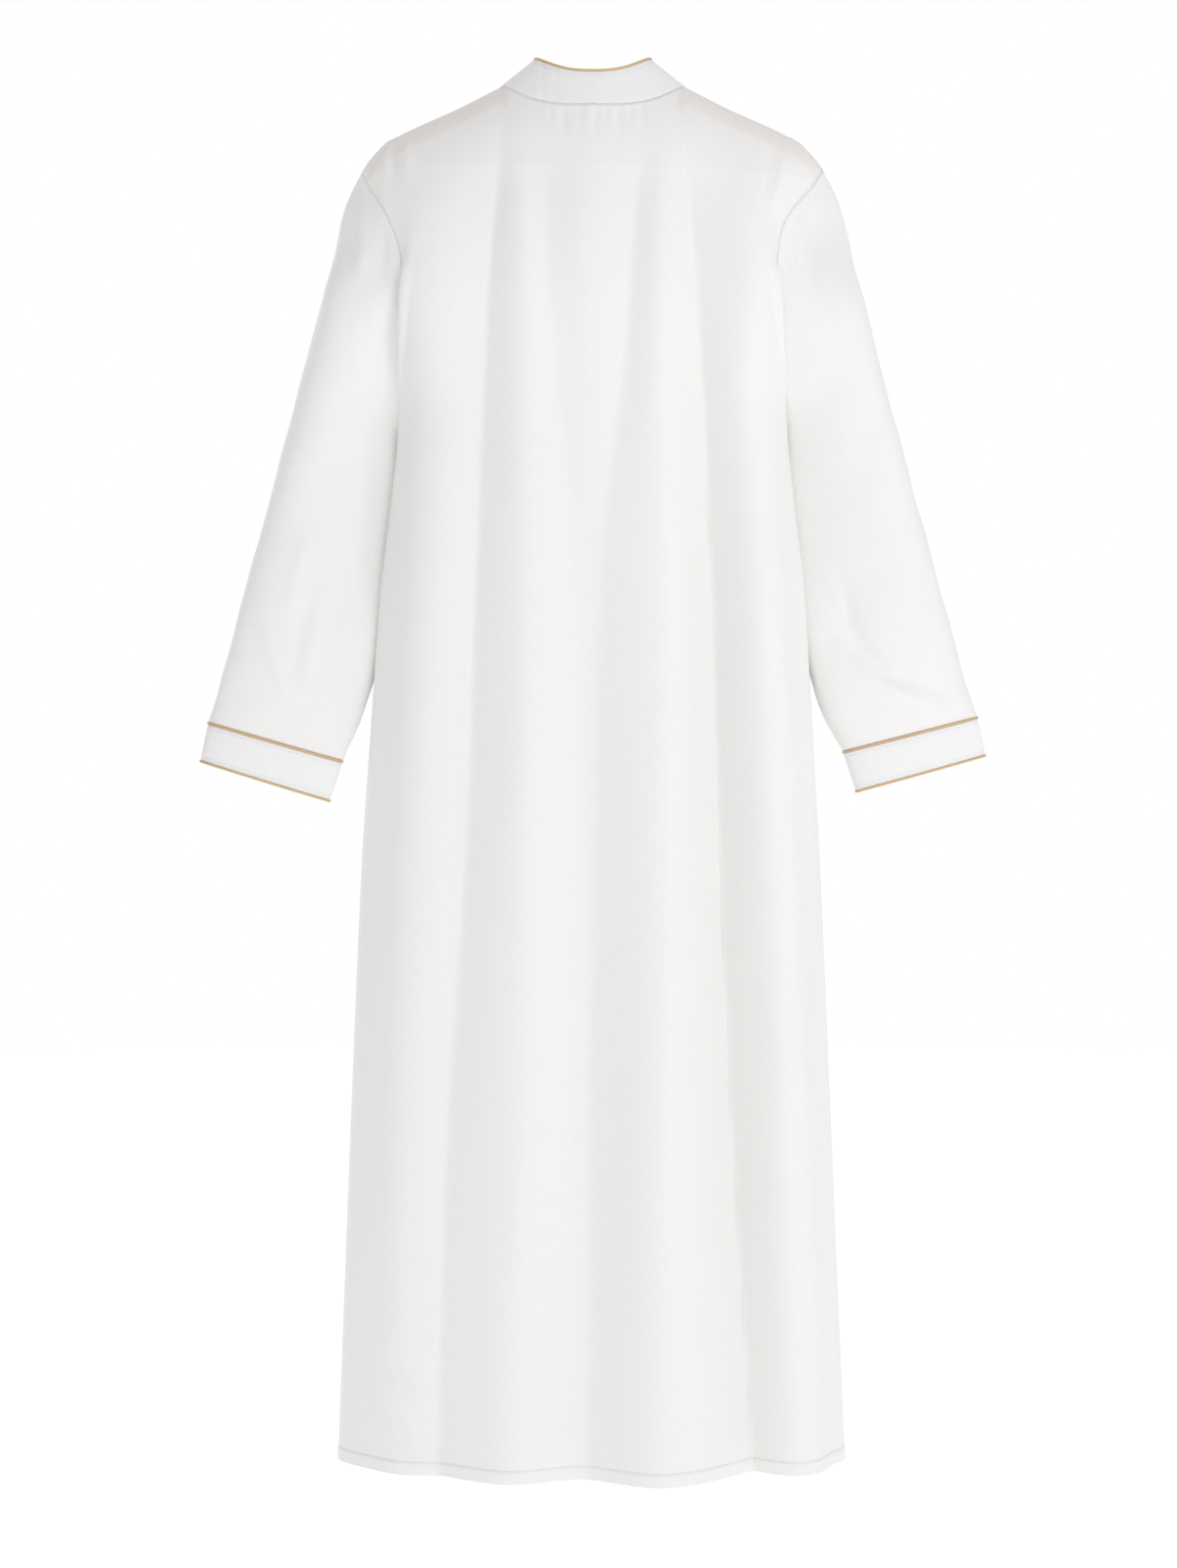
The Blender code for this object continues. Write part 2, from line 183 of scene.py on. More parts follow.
def neck_gathers() -> tuple[Crease, ...]:
    """Gives the small gathers under the middle of the collar."""
    table = (  # x and z at the collar, x and z at the lower end, depth, reach
        (0.0430, -0.033, 0.0440, -0.062, 0.0018, 0.0032),
        (0.0300, -0.034, 0.0290, -0.080, 0.0024, 0.0038),
        (0.0215, -0.034, 0.0210, -0.060, 0.0016, 0.0028),
        (0.0135, -0.034, 0.0120, -0.074, 0.0021, 0.0034),
        (-0.0025, -0.034, -0.0030, -0.086, 0.0024, 0.0038),
        (-0.0140, -0.034, -0.0150, -0.064, 0.0018, 0.0030),
        (-0.0255, -0.033, -0.0290, -0.084, 0.0026, 0.0042),
        (-0.0385, -0.032, -0.0405, -0.062, 0.0018, 0.0032),
        (-0.0505, -0.029, -0.0520, -0.076, 0.0021, 0.0042),
    )
    return tuple(
        Crease(((x, z), (low_x, low_z)), depth, reach, fade=(0.12, 0.8))
        for x, z, low_x, low_z, depth, reach in table
    )


FLUTE_LEVELS = (-1.44, -1.112, -0.793, -0.494, -0.285, -0.165, -0.085)  # from the hem to the yoke


@dataclass(frozen=True)
class FluteLine:
    """The crown of a flute or the bottom of a valley, which hangs down a panel by the levels.

    A sharp line is one that the cloth on both its sides meets at an angle, as in a valley.
    """

    across: Row
    height_mm: Row
    sharp: float = 0.0

    def at(self, z: Array) -> tuple[Array, Array]:
        """Gives the line's place across and its height in metres, at heights z."""
        height = Curve(FLUTE_LEVELS, self.height_mm).at(z) / 1000
        return Curve(FLUTE_LEVELS, self.across).at(z), height


def flute_height(lines: tuple[FluteLine, ...], x: Array, z: Array) -> Array:
    """Works out how far flutes stand over the smooth form.

    Args:
        lines: crowns and valleys in turn, from the wearer's left to the right.
        x: where the places are across.
        z: how high they are.

    Returns:
        The height at each place.
    """
    height = lines[0].at(z)[1]
    for first, second in pairwise(lines):
        (start, low), (end, high) = first.at(z), second.at(z)
        share = np.clip((start - x) / (start - end), 0, 1)
        bend = (1 - first.sharp - second.sharp) * ease(share)
        bend = bend + first.sharp * (1 - (1 - share) ** 2) + second.sharp * share**2
        height = height + (high - low) * bend
    return height


@dataclass(frozen=True)
class Ripples:
    """The slight unevenness of hung cloth: low waves that run mostly up and down."""

    height: float
    widths: Pair
    slant: float  # radians either way from upright
    count: int = 14

    def height_at(self, x: Array, z: Array) -> Array:
        """Adds the waves up.

        Args:
            x: where the places are across.
            z: how high they are.

        Returns:
            The height at each place.
        """
        rng = np.random.default_rng(SEED)
        total = np.zeros(x.shape)
        for _ in range(self.count):
            width = rng.uniform(*self.widths)
            turn = rng.normal(0, self.slant)
            start = rng.uniform(0, 2 * math.pi)
            along = x * math.cos(turn) + z * math.sin(turn)
            total += np.sin(2 * math.pi * along / width + start)
        return self.height * total / math.sqrt(self.count / 2)


@dataclass(frozen=True)
class Section:
    """The body's horizontal section at one height."""

    z: float
    half_width: float
    back_depth: float
    front_depth: float
    squareness: float  # power of the superellipse


@dataclass
class BodyForm:
    """The form that both body panels, the collar, the yoke and the sleeves' heads share."""

    shoulder_x: float = 0.2425
    neck_x: float = 0.097
    back_neck_drop: float = 0.0327
    front_neck_drop: float = 0.082
    underarm_z: float = -0.345
    hem_z: float = -1.44
    pinch_width: float = 0.06  # share of the half panel that the side seam's pinch takes
    roll_width: float = 0.10  # share of the half panel that the side fold's turn takes
    sections: tuple[Section, ...] = (
        Section(-1.440, 0.2665, 0.142, 0.138, 1.85),
        Section(-1.263, 0.2590, 0.136, 0.133, 1.93),
        Section(-1.042, 0.2495, 0.129, 0.127, 2.05),
        Section(-0.795, 0.2387, 0.121, 0.119, 2.20),
        Section(-0.630, 0.2305, 0.116, 0.116, 2.30),
        Section(-0.527, 0.2245, 0.114, 0.116, 2.35),
        Section(-0.436, 0.2135, 0.113, 0.117, 2.40),
        Section(-0.345, 0.2060, 0.112, 0.118, 2.50),
        Section(-0.290, 0.2185, 0.112, 0.118, 2.55),
        Section(-0.230, 0.2340, 0.112, 0.116, 2.60),
        Section(-0.140, 0.2420, 0.110, 0.110, 2.60),
        Section(0.000, 0.2500, 0.105, 0.100, 2.60),
    )
    ridge: Curve = Curve(
        (0.0, 0.097, 0.140, 0.184, 0.204, 0.217, 0.226, 0.236, 0.2425),
        (0.048, 0.0, -0.022, -0.0415, -0.051, -0.0575, -0.0665, -0.078, -0.088),
    )
    rounding: Curve = Curve(
        (0.0, 0.097, 0.140, 0.184, 0.204, 0.217, 0.226, 0.236, 0.2425),
        (0.30, 0.24, 0.21, 0.18, 0.17, 0.16, 0.16, 0.16, 0.16),
    )
    armhole: Curve = Curve(
        (0.0, 0.09, 0.20, 0.38, 0.55, 0.78, 0.92, 1.0),
        (0.2425, 0.2330, 0.2165, 0.1985, 0.1955, 0.1985, 0.2025, 0.2060),
    )
    side_pinch: Curve = Curve(
        (-0.795, -0.63, -0.527, -0.436, -0.38, -0.345), (0.002, 0.010, 0.013, 0.012, 0.008, 0.0)
    )  # how far the side seam lies inside the widest place
    edge_roll: Curve = Curve(
        (-0.345, -0.33, -0.29, -0.23, -0.19, -0.14), (0.0, 0.12, 0.16, 0.15, 0.10, 0.0)
    )  # share by which the armhole's edge turns in behind the side fold
    edge_bulge: Curve = Curve(
        (-0.335, -0.29, -0.26, -0.232, -0.21, -0.19, -0.165),
        (0.0, 0.0040, 0.0066, 0.0080, 0.0066, 0.0020, 0.0),
    )  # how far that fold stands out over the seam
    right_inset: Curve = Curve(
        (-0.345, -0.26, -0.19, -0.15, -0.12, -0.088), (0.0, 0.004, 0.007, 0.012, 0.007, 0.0)
    )  # how much farther in the right armhole lies, as the robe is turned a little
    left_outset: Curve = Curve(
        (-1.44, -1.10, -0.80, -0.62, -0.50), (0.0030, 0.0045, 0.0045, 0.0020, 0.0)
    )  # and how much farther out the left side of the skirt hangs
    back_flutes: tuple[FluteLine, ...] = (
        FluteLine((0.245, 0.238, 0.228, 0.215, 0.215, 0.215, 0.215), (0, 0, 0, 0, 0, 0, 0)),
        FluteLine((0.205, 0.206, 0.196, 0.184, 0.182, 0.184, 0.155), (6.0, 10.0, 14.0, 13.0, 10.0, 6.0, 2.0)),
        FluteLine(
            (0.157, 0.148, 0.129, 0.118, 0.109, 0.102, 0.094),
            (-12.0, -12.0, -12.5, -12.0, -12.0, -9.5, -3.5), sharp=0.6,
        ),
        FluteLine((0.091, 0.078, 0.074, 0.069, 0.069, 0.071, 0.076), (8.5, 8.5, 7.5, 6.0, 5.0, 3.5, 0.5)),
        FluteLine(
            (0.0135, 0.0145, 0.0105, 0.0175, 0.0375, 0.0465, 0.050),
            (-24.5, -20.0, -13.3, -6.6, -2.5, -2.5, -2.0), sharp=0.1,
        ),
        FluteLine(
            (0.0085, 0.0085, 0.0045, 0.0045, 0.0045, 0.0085, 0.0045),
            (-25.0, -20.5, -13.6, -6.8, 1.8, 4.8, 2.0),
        ),
        FluteLine(
            (0.0035, 0.0025, -0.0015, -0.0105, -0.0335, -0.0425, -0.050),
            (-24.5, -20.0, -13.3, -6.6, -3.5, -4.0, -1.0), sharp=0.5,
        ),
        FluteLine(
            (-0.076, -0.073, -0.074, -0.071, -0.068, -0.069, -0.070), (20.0, 20.0, 15.5, 12.0, 8.5, 4.0, 1.5)
        ),
        FluteLine(
            (-0.165, -0.144, -0.129, -0.120, -0.111, -0.102, -0.094),
            (-30.0, -37.0, -35.0, -30.0, -24.0, -17.0, -6.0), sharp=0.6,
        ),
        FluteLine(
            (-0.232, -0.220, -0.203, -0.186, -0.172, -0.180, -0.175), (32.0, 38.0, 35.0, 26.0, 16.0, 8.0, 1.0)
        ),
        FluteLine((-0.255, -0.243, -0.232, -0.215, -0.215, -0.215, -0.215), (0, 0, 0, 0, 0, 0, 0)),
    )
    front_flutes: tuple[FluteLine, ...] = (
        FluteLine((0.215, 0.205, 0.196, 0.186, 0.18, 0.18, 0.18), (3, 3, 3, 1, 0, 0, 0)),
        FluteLine((0.160, 0.152, 0.145, 0.138, 0.135, 0.135, 0.135), (-10, -9, -7, -3, 0, 0, 0), sharp=0.5),
        FluteLine((0.110, 0.106, 0.100, 0.095, 0.09, 0.09, 0.09), (7, 6, 4, 2, 0, 0, 0)),
        FluteLine((0.060, 0.058, 0.056, 0.054, 0.05, 0.05, 0.05), (-12, -10, -7, -3, 0, 0, 0), sharp=0.3),
        FluteLine((0.005, 0.004, 0.002, 0.0, 0.0, 0.0, 0.0), (8, 6, 4, 1, 0, 0, 0)),
        FluteLine(
            (-0.050, -0.051, -0.053, -0.056, -0.05, -0.05, -0.05), (-11, -9, -6, -2, 0, 0, 0), sharp=0.4
        ),
        FluteLine((-0.105, -0.102, -0.098, -0.094, -0.09, -0.09, -0.09), (8, 6, 4, 2, 0, 0, 0)),
        FluteLine(
            (-0.160, -0.152, -0.145, -0.138, -0.135, -0.135, -0.135), (-10, -9, -6, -3, 0, 0, 0), sharp=0.5
        ),
        FluteLine((-0.215, -0.205, -0.196, -0.186, -0.18, -0.18, -0.18), (3, 3, 3, 1, 0, 0, 0)),
    )
    flute_settle: float = 0.006  # how far the flutes' middle height lies inside the smooth form
    flutes_from: Pair = (-0.035, 0.09)  # the height they start at, and that over which they grow
    ripples_from: Pair = (-0.05, 0.2)
    flat_edge: float = 8.0  # power by which flutes die out at the sides
    fold_depth: float = 0.05  # the form's depth from which folds have their full size
    back_creases: tuple[Crease, ...] = (
        *neck_gathers(),
        Crease(((0.2097, -0.050), (0.2080, -0.085), (0.2040, -0.125)), 0.0050, 0.0050, fade=(0.1, 0.6)),
        Crease(((0.1945, -0.045), (0.1930, -0.085), (0.1900, -0.125)), -0.0030, 0.0060, fade=(0.2, 0.6)),
        Crease(((-0.1970, -0.060), (-0.1975, -0.110), (-0.1950, -0.165)), -0.0040, 0.0060, fade=(0.3, 0.5)),
        Crease(((-0.1830, -0.065), (-0.1830, -0.150)), 0.0020, 0.0060, fade=(0.3, 0.5)),
        Crease(((0.2095, -1.308), (0.1795, -1.363)), 0.0030, 0.0070, fade=(0.3, 0.4)),
        Crease(((0.2145, -1.353), (0.1795, -1.428)), 0.0030, 0.0070, fade=(0.3, 0.4)),
    )
    front_creases: tuple[Crease, ...] = (
        Crease(((0.200, -0.300), (0.150, -0.380), (0.110, -0.440)), 0.0040, 0.0120),
        Crease(((-0.198, -0.290), (-0.150, -0.360), (-0.105, -0.400)), 0.0035, 0.0120),
        Crease(((0.196, -0.180), (0.192, -0.260)), 0.0025, 0.0080),
        Crease(((-0.196, -0.170), (-0.190, -0.260)), 0.0025, 0.0080),
    )
    ripples: Ripples = Ripples(height=0.0003, widths=(0.05, 0.14), slant=0.12)

    def read(self, column: str, z: Array) -> Array:
        """Reads one column of the sections at heights z."""
        return Curve(
            tuple(s.z for s in self.sections), tuple(getattr(s, column) for s in self.sections)
        ).at(z)

    def smooth_y(self, face: Face, x: Array, z: Array) -> Array:
        """Works out how far the form stands from the X-Z plane, before any fold.

        Args:
            face: the back or the front.
            x: where the places are across.
            z: how high they are.

        Returns:
            The distance at each place.
        """
        power = self.read("squareness", z)
        depth = self.read("back_depth" if face is Face.BACK else "front_depth", z)
        out = np.minimum(np.abs(x) / self.read("half_width", z), 1.0)
        below = np.clip((self.ridge.at(np.abs(x)) - z) / self.rounding.at(np.abs(x)), 0, 1)
        return depth * (1 - out**power) ** (1 / power) * np.sqrt(1 - (1 - below) ** 2)

    def y(self, face: Face, x: Array, z: Array) -> Array:
        """Works out the cloth's place in Y, with its folds and creases.

        Args:
            face: the back or the front.
            x: where the places are across.
            z: how high they are.

        Returns:
            Y at each place.
        """
        form = self.smooth_y(face, x, z)
        flutes = self.back_flutes if face is Face.BACK else self.front_flutes
        creases = self.back_creases if face is Face.BACK else self.front_creases
        out = np.minimum(np.abs(x) / self.read("half_width", z), 1.0)
        inside = (self.flute_settle - flute_height(flutes, x, z)) * (1 - out**self.flat_edge)
        inside = inside * ease((self.flutes_from[0] - z) / self.flutes_from[1])
        ripples = self.ripples.height_at(x * face.value, z)
        inside = inside + ripples * ease((self.ripples_from[0] - z) / self.ripples_from[1])
        inside = inside + sum(crease.depth_at(x, z) for crease in creases)
        return face.value * np.maximum(form - inside * ease(form / self.fold_depth), 0.0)

    def neckline_z(self, face: Face, x: Array) -> Array:
        """Gives the height of the collar seam at places across."""
        out = np.minimum(np.abs(x) / self.neck_x, 1.0)
        if face is Face.BACK:
            return -self.back_neck_drop * (1 - out**3)
        return -self.front_neck_drop * (1 - out**2)

    def top_z(self, face: Face, x: Array) -> Array:
        """Gives the height of a panel's upper edge: the collar seam, then the shoulder seam."""
        return np.where(np.abs(x) < self.neck_x, self.neckline_z(face, x), self.ridge.at(np.abs(x)))

    def place(self, face: Face, across: Array, way: Array) -> Array:
        """Places points of a panel.

        Args:
            face: the back or the front.
            across: from -1 to 1 between the panel's edges.
            way: 0 at the top edge, 1 at the level of the underarm, 2 at the hem.

        Returns:
            The points, with x, y and z along the last axis.
        """
        across, way = np.broadcast_arrays(across, way)
        f = np.abs(across)
        spread = mix(f, np.sin(f * math.pi / 2), ease(way))
        upper = np.minimum(way, 1.0)
        z = np.where(
            way <= 1,
            mix(self.top_z(face, f * self.shoulder_x), self.underarm_z, upper),
            mix(self.underarm_z, self.hem_z, way - 1),
        )
        width = np.where(way <= 1, self.armhole.at(upper), self.read("half_width", z))
        x = width * spread
        pinch = self.side_pinch.at(z) * (way > 1)
        edge = np.clip(1 - (1 - f) / self.roll_width, 0, 1)
        roll = self.edge_roll.at(z) * (way <= 1)
        y = self.y(face, np.copysign(x, across), z) * (1 - roll * edge**2)
        x = x - pinch * np.exp(-(((1 - f) / self.pinch_width) ** 2))
        x = x + self.edge_bulge.at(z) * (way <= 1) * np.sin(math.pi * edge)
        x = x - self.right_inset.at(z) * (way <= 1) * (across < 0) * ease((f - 0.6) / 0.4)
        x = x + self.left_outset.at(z) * (way > 1) * (across > 0) * ease((f - 0.6) / 0.4)
        return np.stack([np.copysign(x, across), y, z], -1)

    def normal(self, face: Face, x: Array, z: Array) -> Array:
        """Gives the cloth's outward unit normals at places across and up."""
        step = 0.001
        slope_x = (self.y(face, x + step, z) - self.y(face, x - step, z)) / (2 * step)
        slope_z = (self.y(face, x, z + step) - self.y(face, x, z - step)) / (2 * step)
        s = face.value
        return unit(np.stack([-s * slope_x, np.full(x.shape, float(s)), -s * slope_z], -1))


# ---- Making meshes ----
def walked(points: Array, axis: int) -> Array:
    """Measures the distance walked along one axis of a grid of points, from its start."""
    steps = np.linalg.norm(np.diff(points, axis=axis), axis=-1)
    start = np.zeros_like(np.take(steps, [0], axis=axis))
    return np.concatenate([start, np.cumsum(steps, axis=axis)], axis=axis)


def grid_normals(grid: Array, closed: bool) -> Array:
    """Works out outward normals of a grid whose rows run down and anticlockwise from above.

    Args:
        grid: points by row and column.
        closed: whether each row's ends join.

    Returns:
        The unit normals, by row and column.
    """
    around = np.roll(grid, -1, 1) - np.roll(grid, 1, 1) if closed else np.gradient(grid, axis=1)
    return unit(np.cross(np.gradient(grid, axis=0), around))


def grid_mesh(name: str, grid: Array, closed: bool, fields: dict[str, Array]) -> Mesh:
    """Makes a smooth mesh on a grid of points, with its flat pattern in metres as its UV map.

    Args:
        name: the mesh's name.
        grid: points by row and column, with rows that run down and anticlockwise from above.
        closed: whether each row's ends join.
        fields: numbers for the finish to read, by name, one for each point.

    Returns:
        The mesh.
    """
    rows, count = grid.shape[:2]
    row, column = np.arange(rows - 1)[:, None], np.arange(count if closed else count - 1)[None]
    a, b = row * count + column, row * count + (column + 1) % count
    faces = np.stack([a, a + count, b + count, b], -1).reshape(-1, 4)
    mesh = bpy.data.meshes.new(name)
    mesh.from_pydata(grid.reshape(-1, 3).tolist(), [], faces.tolist())
    flat = np.concatenate([grid, grid[:, :1]], 1) if closed else grid
    u, v = walked(flat, 1), walked(flat, 0)
    u = u - u[:, [flat.shape[1] // 2]]
    width = flat.shape[1]
    a, b = row * width + column, row * width + column + 1
    corners = np.stack([a, a + width, b + width, b], -1).reshape(-1)
    uv = np.stack([u, -v], -1).reshape(-1, 2)[corners]
    mesh.uv_layers.new(name="UVMap").data.foreach_set("uv", uv.astype(np.float32).ravel())
    for key, values in fields.items():
        attribute = mesh.attributes.new(key, "FLOAT", "POINT")
        attribute.data.foreach_set("value", values.astype(np.float32).ravel())
    mesh.shade_smooth()
    return mesh


def add_piece(
    name: str, mesh: Mesh, finish: Material, nodes: tuple[str, ...] = ()
) -> Piece:
    """Adds a piece that rides on the frame.

    Args:
        name: the piece's name.
        mesh: its mesh, in the frame's own metres.
        finish: its material.
        nodes: the CAD nodes that the piece stands for.

    Returns:
        The piece.
    """
    piece = bpy.data.objects.new(name, mesh)
    mesh.materials.append(finish)
    bpy.context.scene.collection.objects.link(piece)
    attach(piece, "root")
    if nodes:
        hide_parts(*nodes)
    log.info("%s: %d faces", name, len(mesh.polygons))
    return piece


def add_stitches(name: str, rows: list[tuple[Array, Array]], finish: Material) -> Piece:
    """Adds rows of machine stitches, each given by its path and the cloth's normals."""
    return add_piece(name, Thread().mesh(name, rows), finish)


def add_wall(piece: Piece, thickness: float) -> None:
    """Gives a sheet its thickness, inwards."""
    wall = piece.modifiers.new("Wall", "SOLIDIFY")
    wall.thickness = thickness
    wall.offset = -1


def resampled(path: Array, step: float, closed: bool) -> Array:
    """Spaces points evenly along a path.

    Args:
        path: the points of the path.
        step: about how far apart the new points are.
        closed: whether the path's ends join.

    Returns:
        The new points. A closed path's first point isn't repeated.
    """
    path = np.concatenate([path, path[:1]]) if closed else path
    way = walked(path, 0)
    count = max(int(round(way[-1] / step)), 3)
    new = np.linspace(0, way[-1], count + 1)
    new = new[:-1] if closed else new
    return np.stack([np.interp(new, way, path[:, k]) for k in range(3)], -1)


@dataclass(frozen=True)
class Thread:
    """A row of machine stitches: short capsules that sink into the cloth at both ends."""

    length: float = 0.0026
    gap: float = 0.0007
    radius: float = 0.00028

    def row(self, path: Array, normals: Array) -> tuple[Array, Array]:
        """Makes the stitches of one row.

        Args:
            path: points along the row, on the cloth.
            normals: the cloth's normals there.

        Returns:
            The points and the faces of all the stitches.
        """
        way = walked(path, 0)
        starts = np.arange(self.gap, way[-1] - self.length, self.length + self.gap)
        shares = np.array([0.0, 0.15, 0.5, 0.85, 1.0])
        places = starts[:, None] + self.length * shares
        centres = np.stack([np.interp(places, way, path[:, k]) for k in range(3)], -1)
        up = unit(np.stack([np.interp(places, way, normals[:, k]) for k in range(3)], -1))
        along = unit(np.gradient(centres, axis=1))
        aside = unit(np.cross(along, up))
        lift = np.array([-0.6, 0.3, 0.5, 0.3, -0.6])[None, :, None] * self.radius
        girth = np.array([0.5, 1.0, 1.0, 1.0, 0.5])[None, :, None, None] * self.radius
        angles = np.linspace(0, 2 * math.pi, 6, endpoint=False)
        ring = aside[:, :, None] * np.cos(angles)[:, None] + up[:, :, None] * np.sin(angles)[:, None]
        points = (centres + up * lift)[:, :, None] + ring * girth
        stitch, level, turn = np.meshgrid(
            np.arange(len(starts)), np.arange(4), np.arange(6), indexing="ij"
        )
        first = stitch * 30 + level * 6
        a, b = first + turn, first + (turn + 1) % 6
        faces = np.stack([a, a + 6, b + 6, b], -1).reshape(-1, 4)
        return points.reshape(-1, 3), faces

    def mesh(self, name: str, rows: list[tuple[Array, Array]]) -> Mesh:
        """Makes one mesh of several rows, each given by its path and normals."""
        points, faces = [], []
        start = 0
        for path, normals in rows:
            row_points, row_faces = self.row(path, normals)
            points.append(row_points)
            faces.append(row_faces + start)
            start += len(row_points)
        mesh = bpy.data.meshes.new(name)
        mesh.from_pydata(np.concatenate(points).tolist(), [], np.concatenate(faces).tolist())
        mesh.shade_smooth()
        return mesh


@dataclass(frozen=True)
class Cord:
    """Twisted piping cord: plies that wind round each other."""

    radius: float = 0.0013
    plies: int = 3
    lay: float = 0.0084  # length in which a ply goes once round
    step: float = 0.0008
    sides: int = 12

    def mesh(self, name: str, path: Array, closed: bool) -> Mesh:
        """Sweeps the plies along a path that nowhere runs upright.

        Args:
            name: the mesh's name.
            path: the points that the cord's middle follows.
            closed: whether the cord's ends meet.

        Returns:
            The mesh, whose UV map has its turn in u and its length in v.
        """
        centres = resampled(path, self.step, closed)
        ring = np.concatenate([centres[-1:], centres, centres[:1]]) if closed else centres
        along = unit(np.gradient(ring, axis=0))[1:-1] if closed else unit(np.gradient(ring, axis=0))
        up = unit(np.array([0, 0, 1.0]) - along * along[:, 2:])
        aside = np.cross(along, up)
        way = np.arange(len(centres)) / len(centres)
        length = self.step * len(centres)
        turns = max(round(length / self.lay), 1) * 2 * math.pi * way
        around = np.linspace(0, 2 * math.pi, self.sides, endpoint=False)
        lobes = self.radius * (0.80 + 0.20 * np.abs(np.cos(self.plies * around / 2)))
        angle = turns[:, None] + around
        girth = np.ones(len(centres))
        if not closed:
            ends = np.minimum(np.arange(len(centres)), np.arange(len(centres))[::-1])
            girth = np.sqrt(1 - (1 - np.minimum((ends + 0.15) / 2.2, 1.0)) ** 2)
        reach = lobes * girth[:, None]
        points = (
            centres[:, None]
            + up[:, None] * (np.cos(angle) * reach)[..., None]
            + aside[:, None] * (np.sin(angle) * reach)[..., None]
        )
        rows, sides = points.shape[:2]
        row, side = np.arange(rows if closed else rows - 1)[:, None], np.arange(sides)[None]
        below = (row + 1) % rows
        a, b = row * sides + side, row * sides + (side + 1) % sides
        c, d = below * sides + (side + 1) % sides, below * sides + side
        faces = np.stack([a, b, c, d], -1).reshape(-1, 4)
        mesh = bpy.data.meshes.new(name)
        caps = [] if closed else [list(range(sides))[::-1], [(rows - 1) * sides + k for k in range(sides)]]
        mesh.from_pydata(points.reshape(-1, 3).tolist(), [], faces.tolist() + caps)
        turn = (side + np.zeros_like(row)) / sides
        far = (row + np.zeros_like(side)) * self.step
        u = np.stack([turn, turn + 1 / sides, turn + 1 / sides, turn], -1)
        v = np.stack([far, far, far + self.step, far + self.step], -1)
        uv = np.stack([u, v], -1).reshape(-1, 2)
        uv = np.concatenate([uv, np.zeros((len(mesh.loops) - len(uv), 2))])
        mesh.uv_layers.new(name="UVMap").data.foreach_set("uv", uv.astype(np.float32).ravel())
        mesh.shade_smooth()
        return mesh


# ---- Finishes ----
def linear(colour: str) -> Colour:
    """Turns an sRGB hex colour to linear light, with full opacity."""
    parts = [int(colour[k : k + 2], 16) / 255 for k in (1, 3, 5)]
    light = [p / 12.92 if p <= 0.04045 else ((p + 0.055) / 1.055) ** 2.4 for p in parts]
    return (*light, 1.0)


def add_node(tree: bpy.types.NodeTree, kind: str, inputs: dict | None = None, **settings) -> bpy.types.Node:
    """Adds a node with its settings, and sets or links its inputs.

    Args:
        tree: the material's or the world's node tree.
        kind: the node's type.
        inputs: values, or sockets to link, by the input's name or number.
        **settings: the node's own settings.

    Returns:
        The node.
    """
    node = tree.nodes.new(kind)
    for key, value in settings.items():
        setattr(node, key, value)
    for key, value in (inputs or {}).items():
        if isinstance(value, Socket):
            tree.links.new(value, node.inputs[key])
        else:
            node.inputs[key].default_value = value
    return node


class Paint:
    """A material's node tree as it is being built, with the few kinds of node that finishes need."""

    def __init__(self, name: str) -> None:
        """Makes an empty material."""
        self.material = bpy.data.materials.new(name)
        self.material.use_nodes = True
        self.tree = self.material.node_tree
        self.tree.nodes.clear()

    def pattern(self) -> Socket:
        """Gives the place on the flat pattern, in metres."""
        return add_node(self.tree, "ShaderNodeUVMap", uv_map="UVMap").outputs["UV"]

    def math(self, operation: str, *values) -> Socket:
        """Does one sum on sockets or numbers."""
        return add_node(self.tree, "ShaderNodeMath", dict(enumerate(values)), operation=operation).outputs[0]

    def scaled(self, vector, by) -> Socket:
        """Multiplies a vector or a colour, part by part."""
        return add_node(
            self.tree, "ShaderNodeVectorMath", {0: vector, 1: by}, operation="MULTIPLY"
        ).outputs[0]

    def noise(self, place: Socket, size_mm: float, **inputs) -> Socket:
        """Gives clouds about size_mm across."""
        inputs = {"Vector": place, "Scale": 1000 / size_mm, **inputs}
        return add_node(self.tree, "ShaderNodeTexNoise", inputs).outputs[0]

    def mapped(self, value: Socket, limits: dict[str, float], **settings) -> Socket:
        """Maps a value from one range to another."""
        return add_node(self.tree, "ShaderNodeMapRange", {"Value": value, **limits}, **settings).outputs[0]

    def blend(self, share: Socket, first, second) -> Socket:
        """Goes from the first colour to the second as the share goes from 0 to 1."""
        return add_node(
            self.tree, "ShaderNodeMix", {0: share, 6: first, 7: second}, data_type="RGBA"
        ).outputs[2]

    def bump(self, height: Socket, distance: float, **inputs) -> Socket:
        """Gives the normals of a relief."""
        inputs = {"Height": height, "Distance": distance, **inputs}
        return add_node(self.tree, "ShaderNodeBump", inputs).outputs[0]

    def finished(self, inputs: dict) -> Material:
        """Gives the material a surface with these inputs, and hands it over."""
        shader = add_node(self.tree, "ShaderNodeBsdfPrincipled", inputs)
        add_node(self.tree, "ShaderNodeOutputMaterial", {"Surface": shader.outputs[0]})
        return self.material


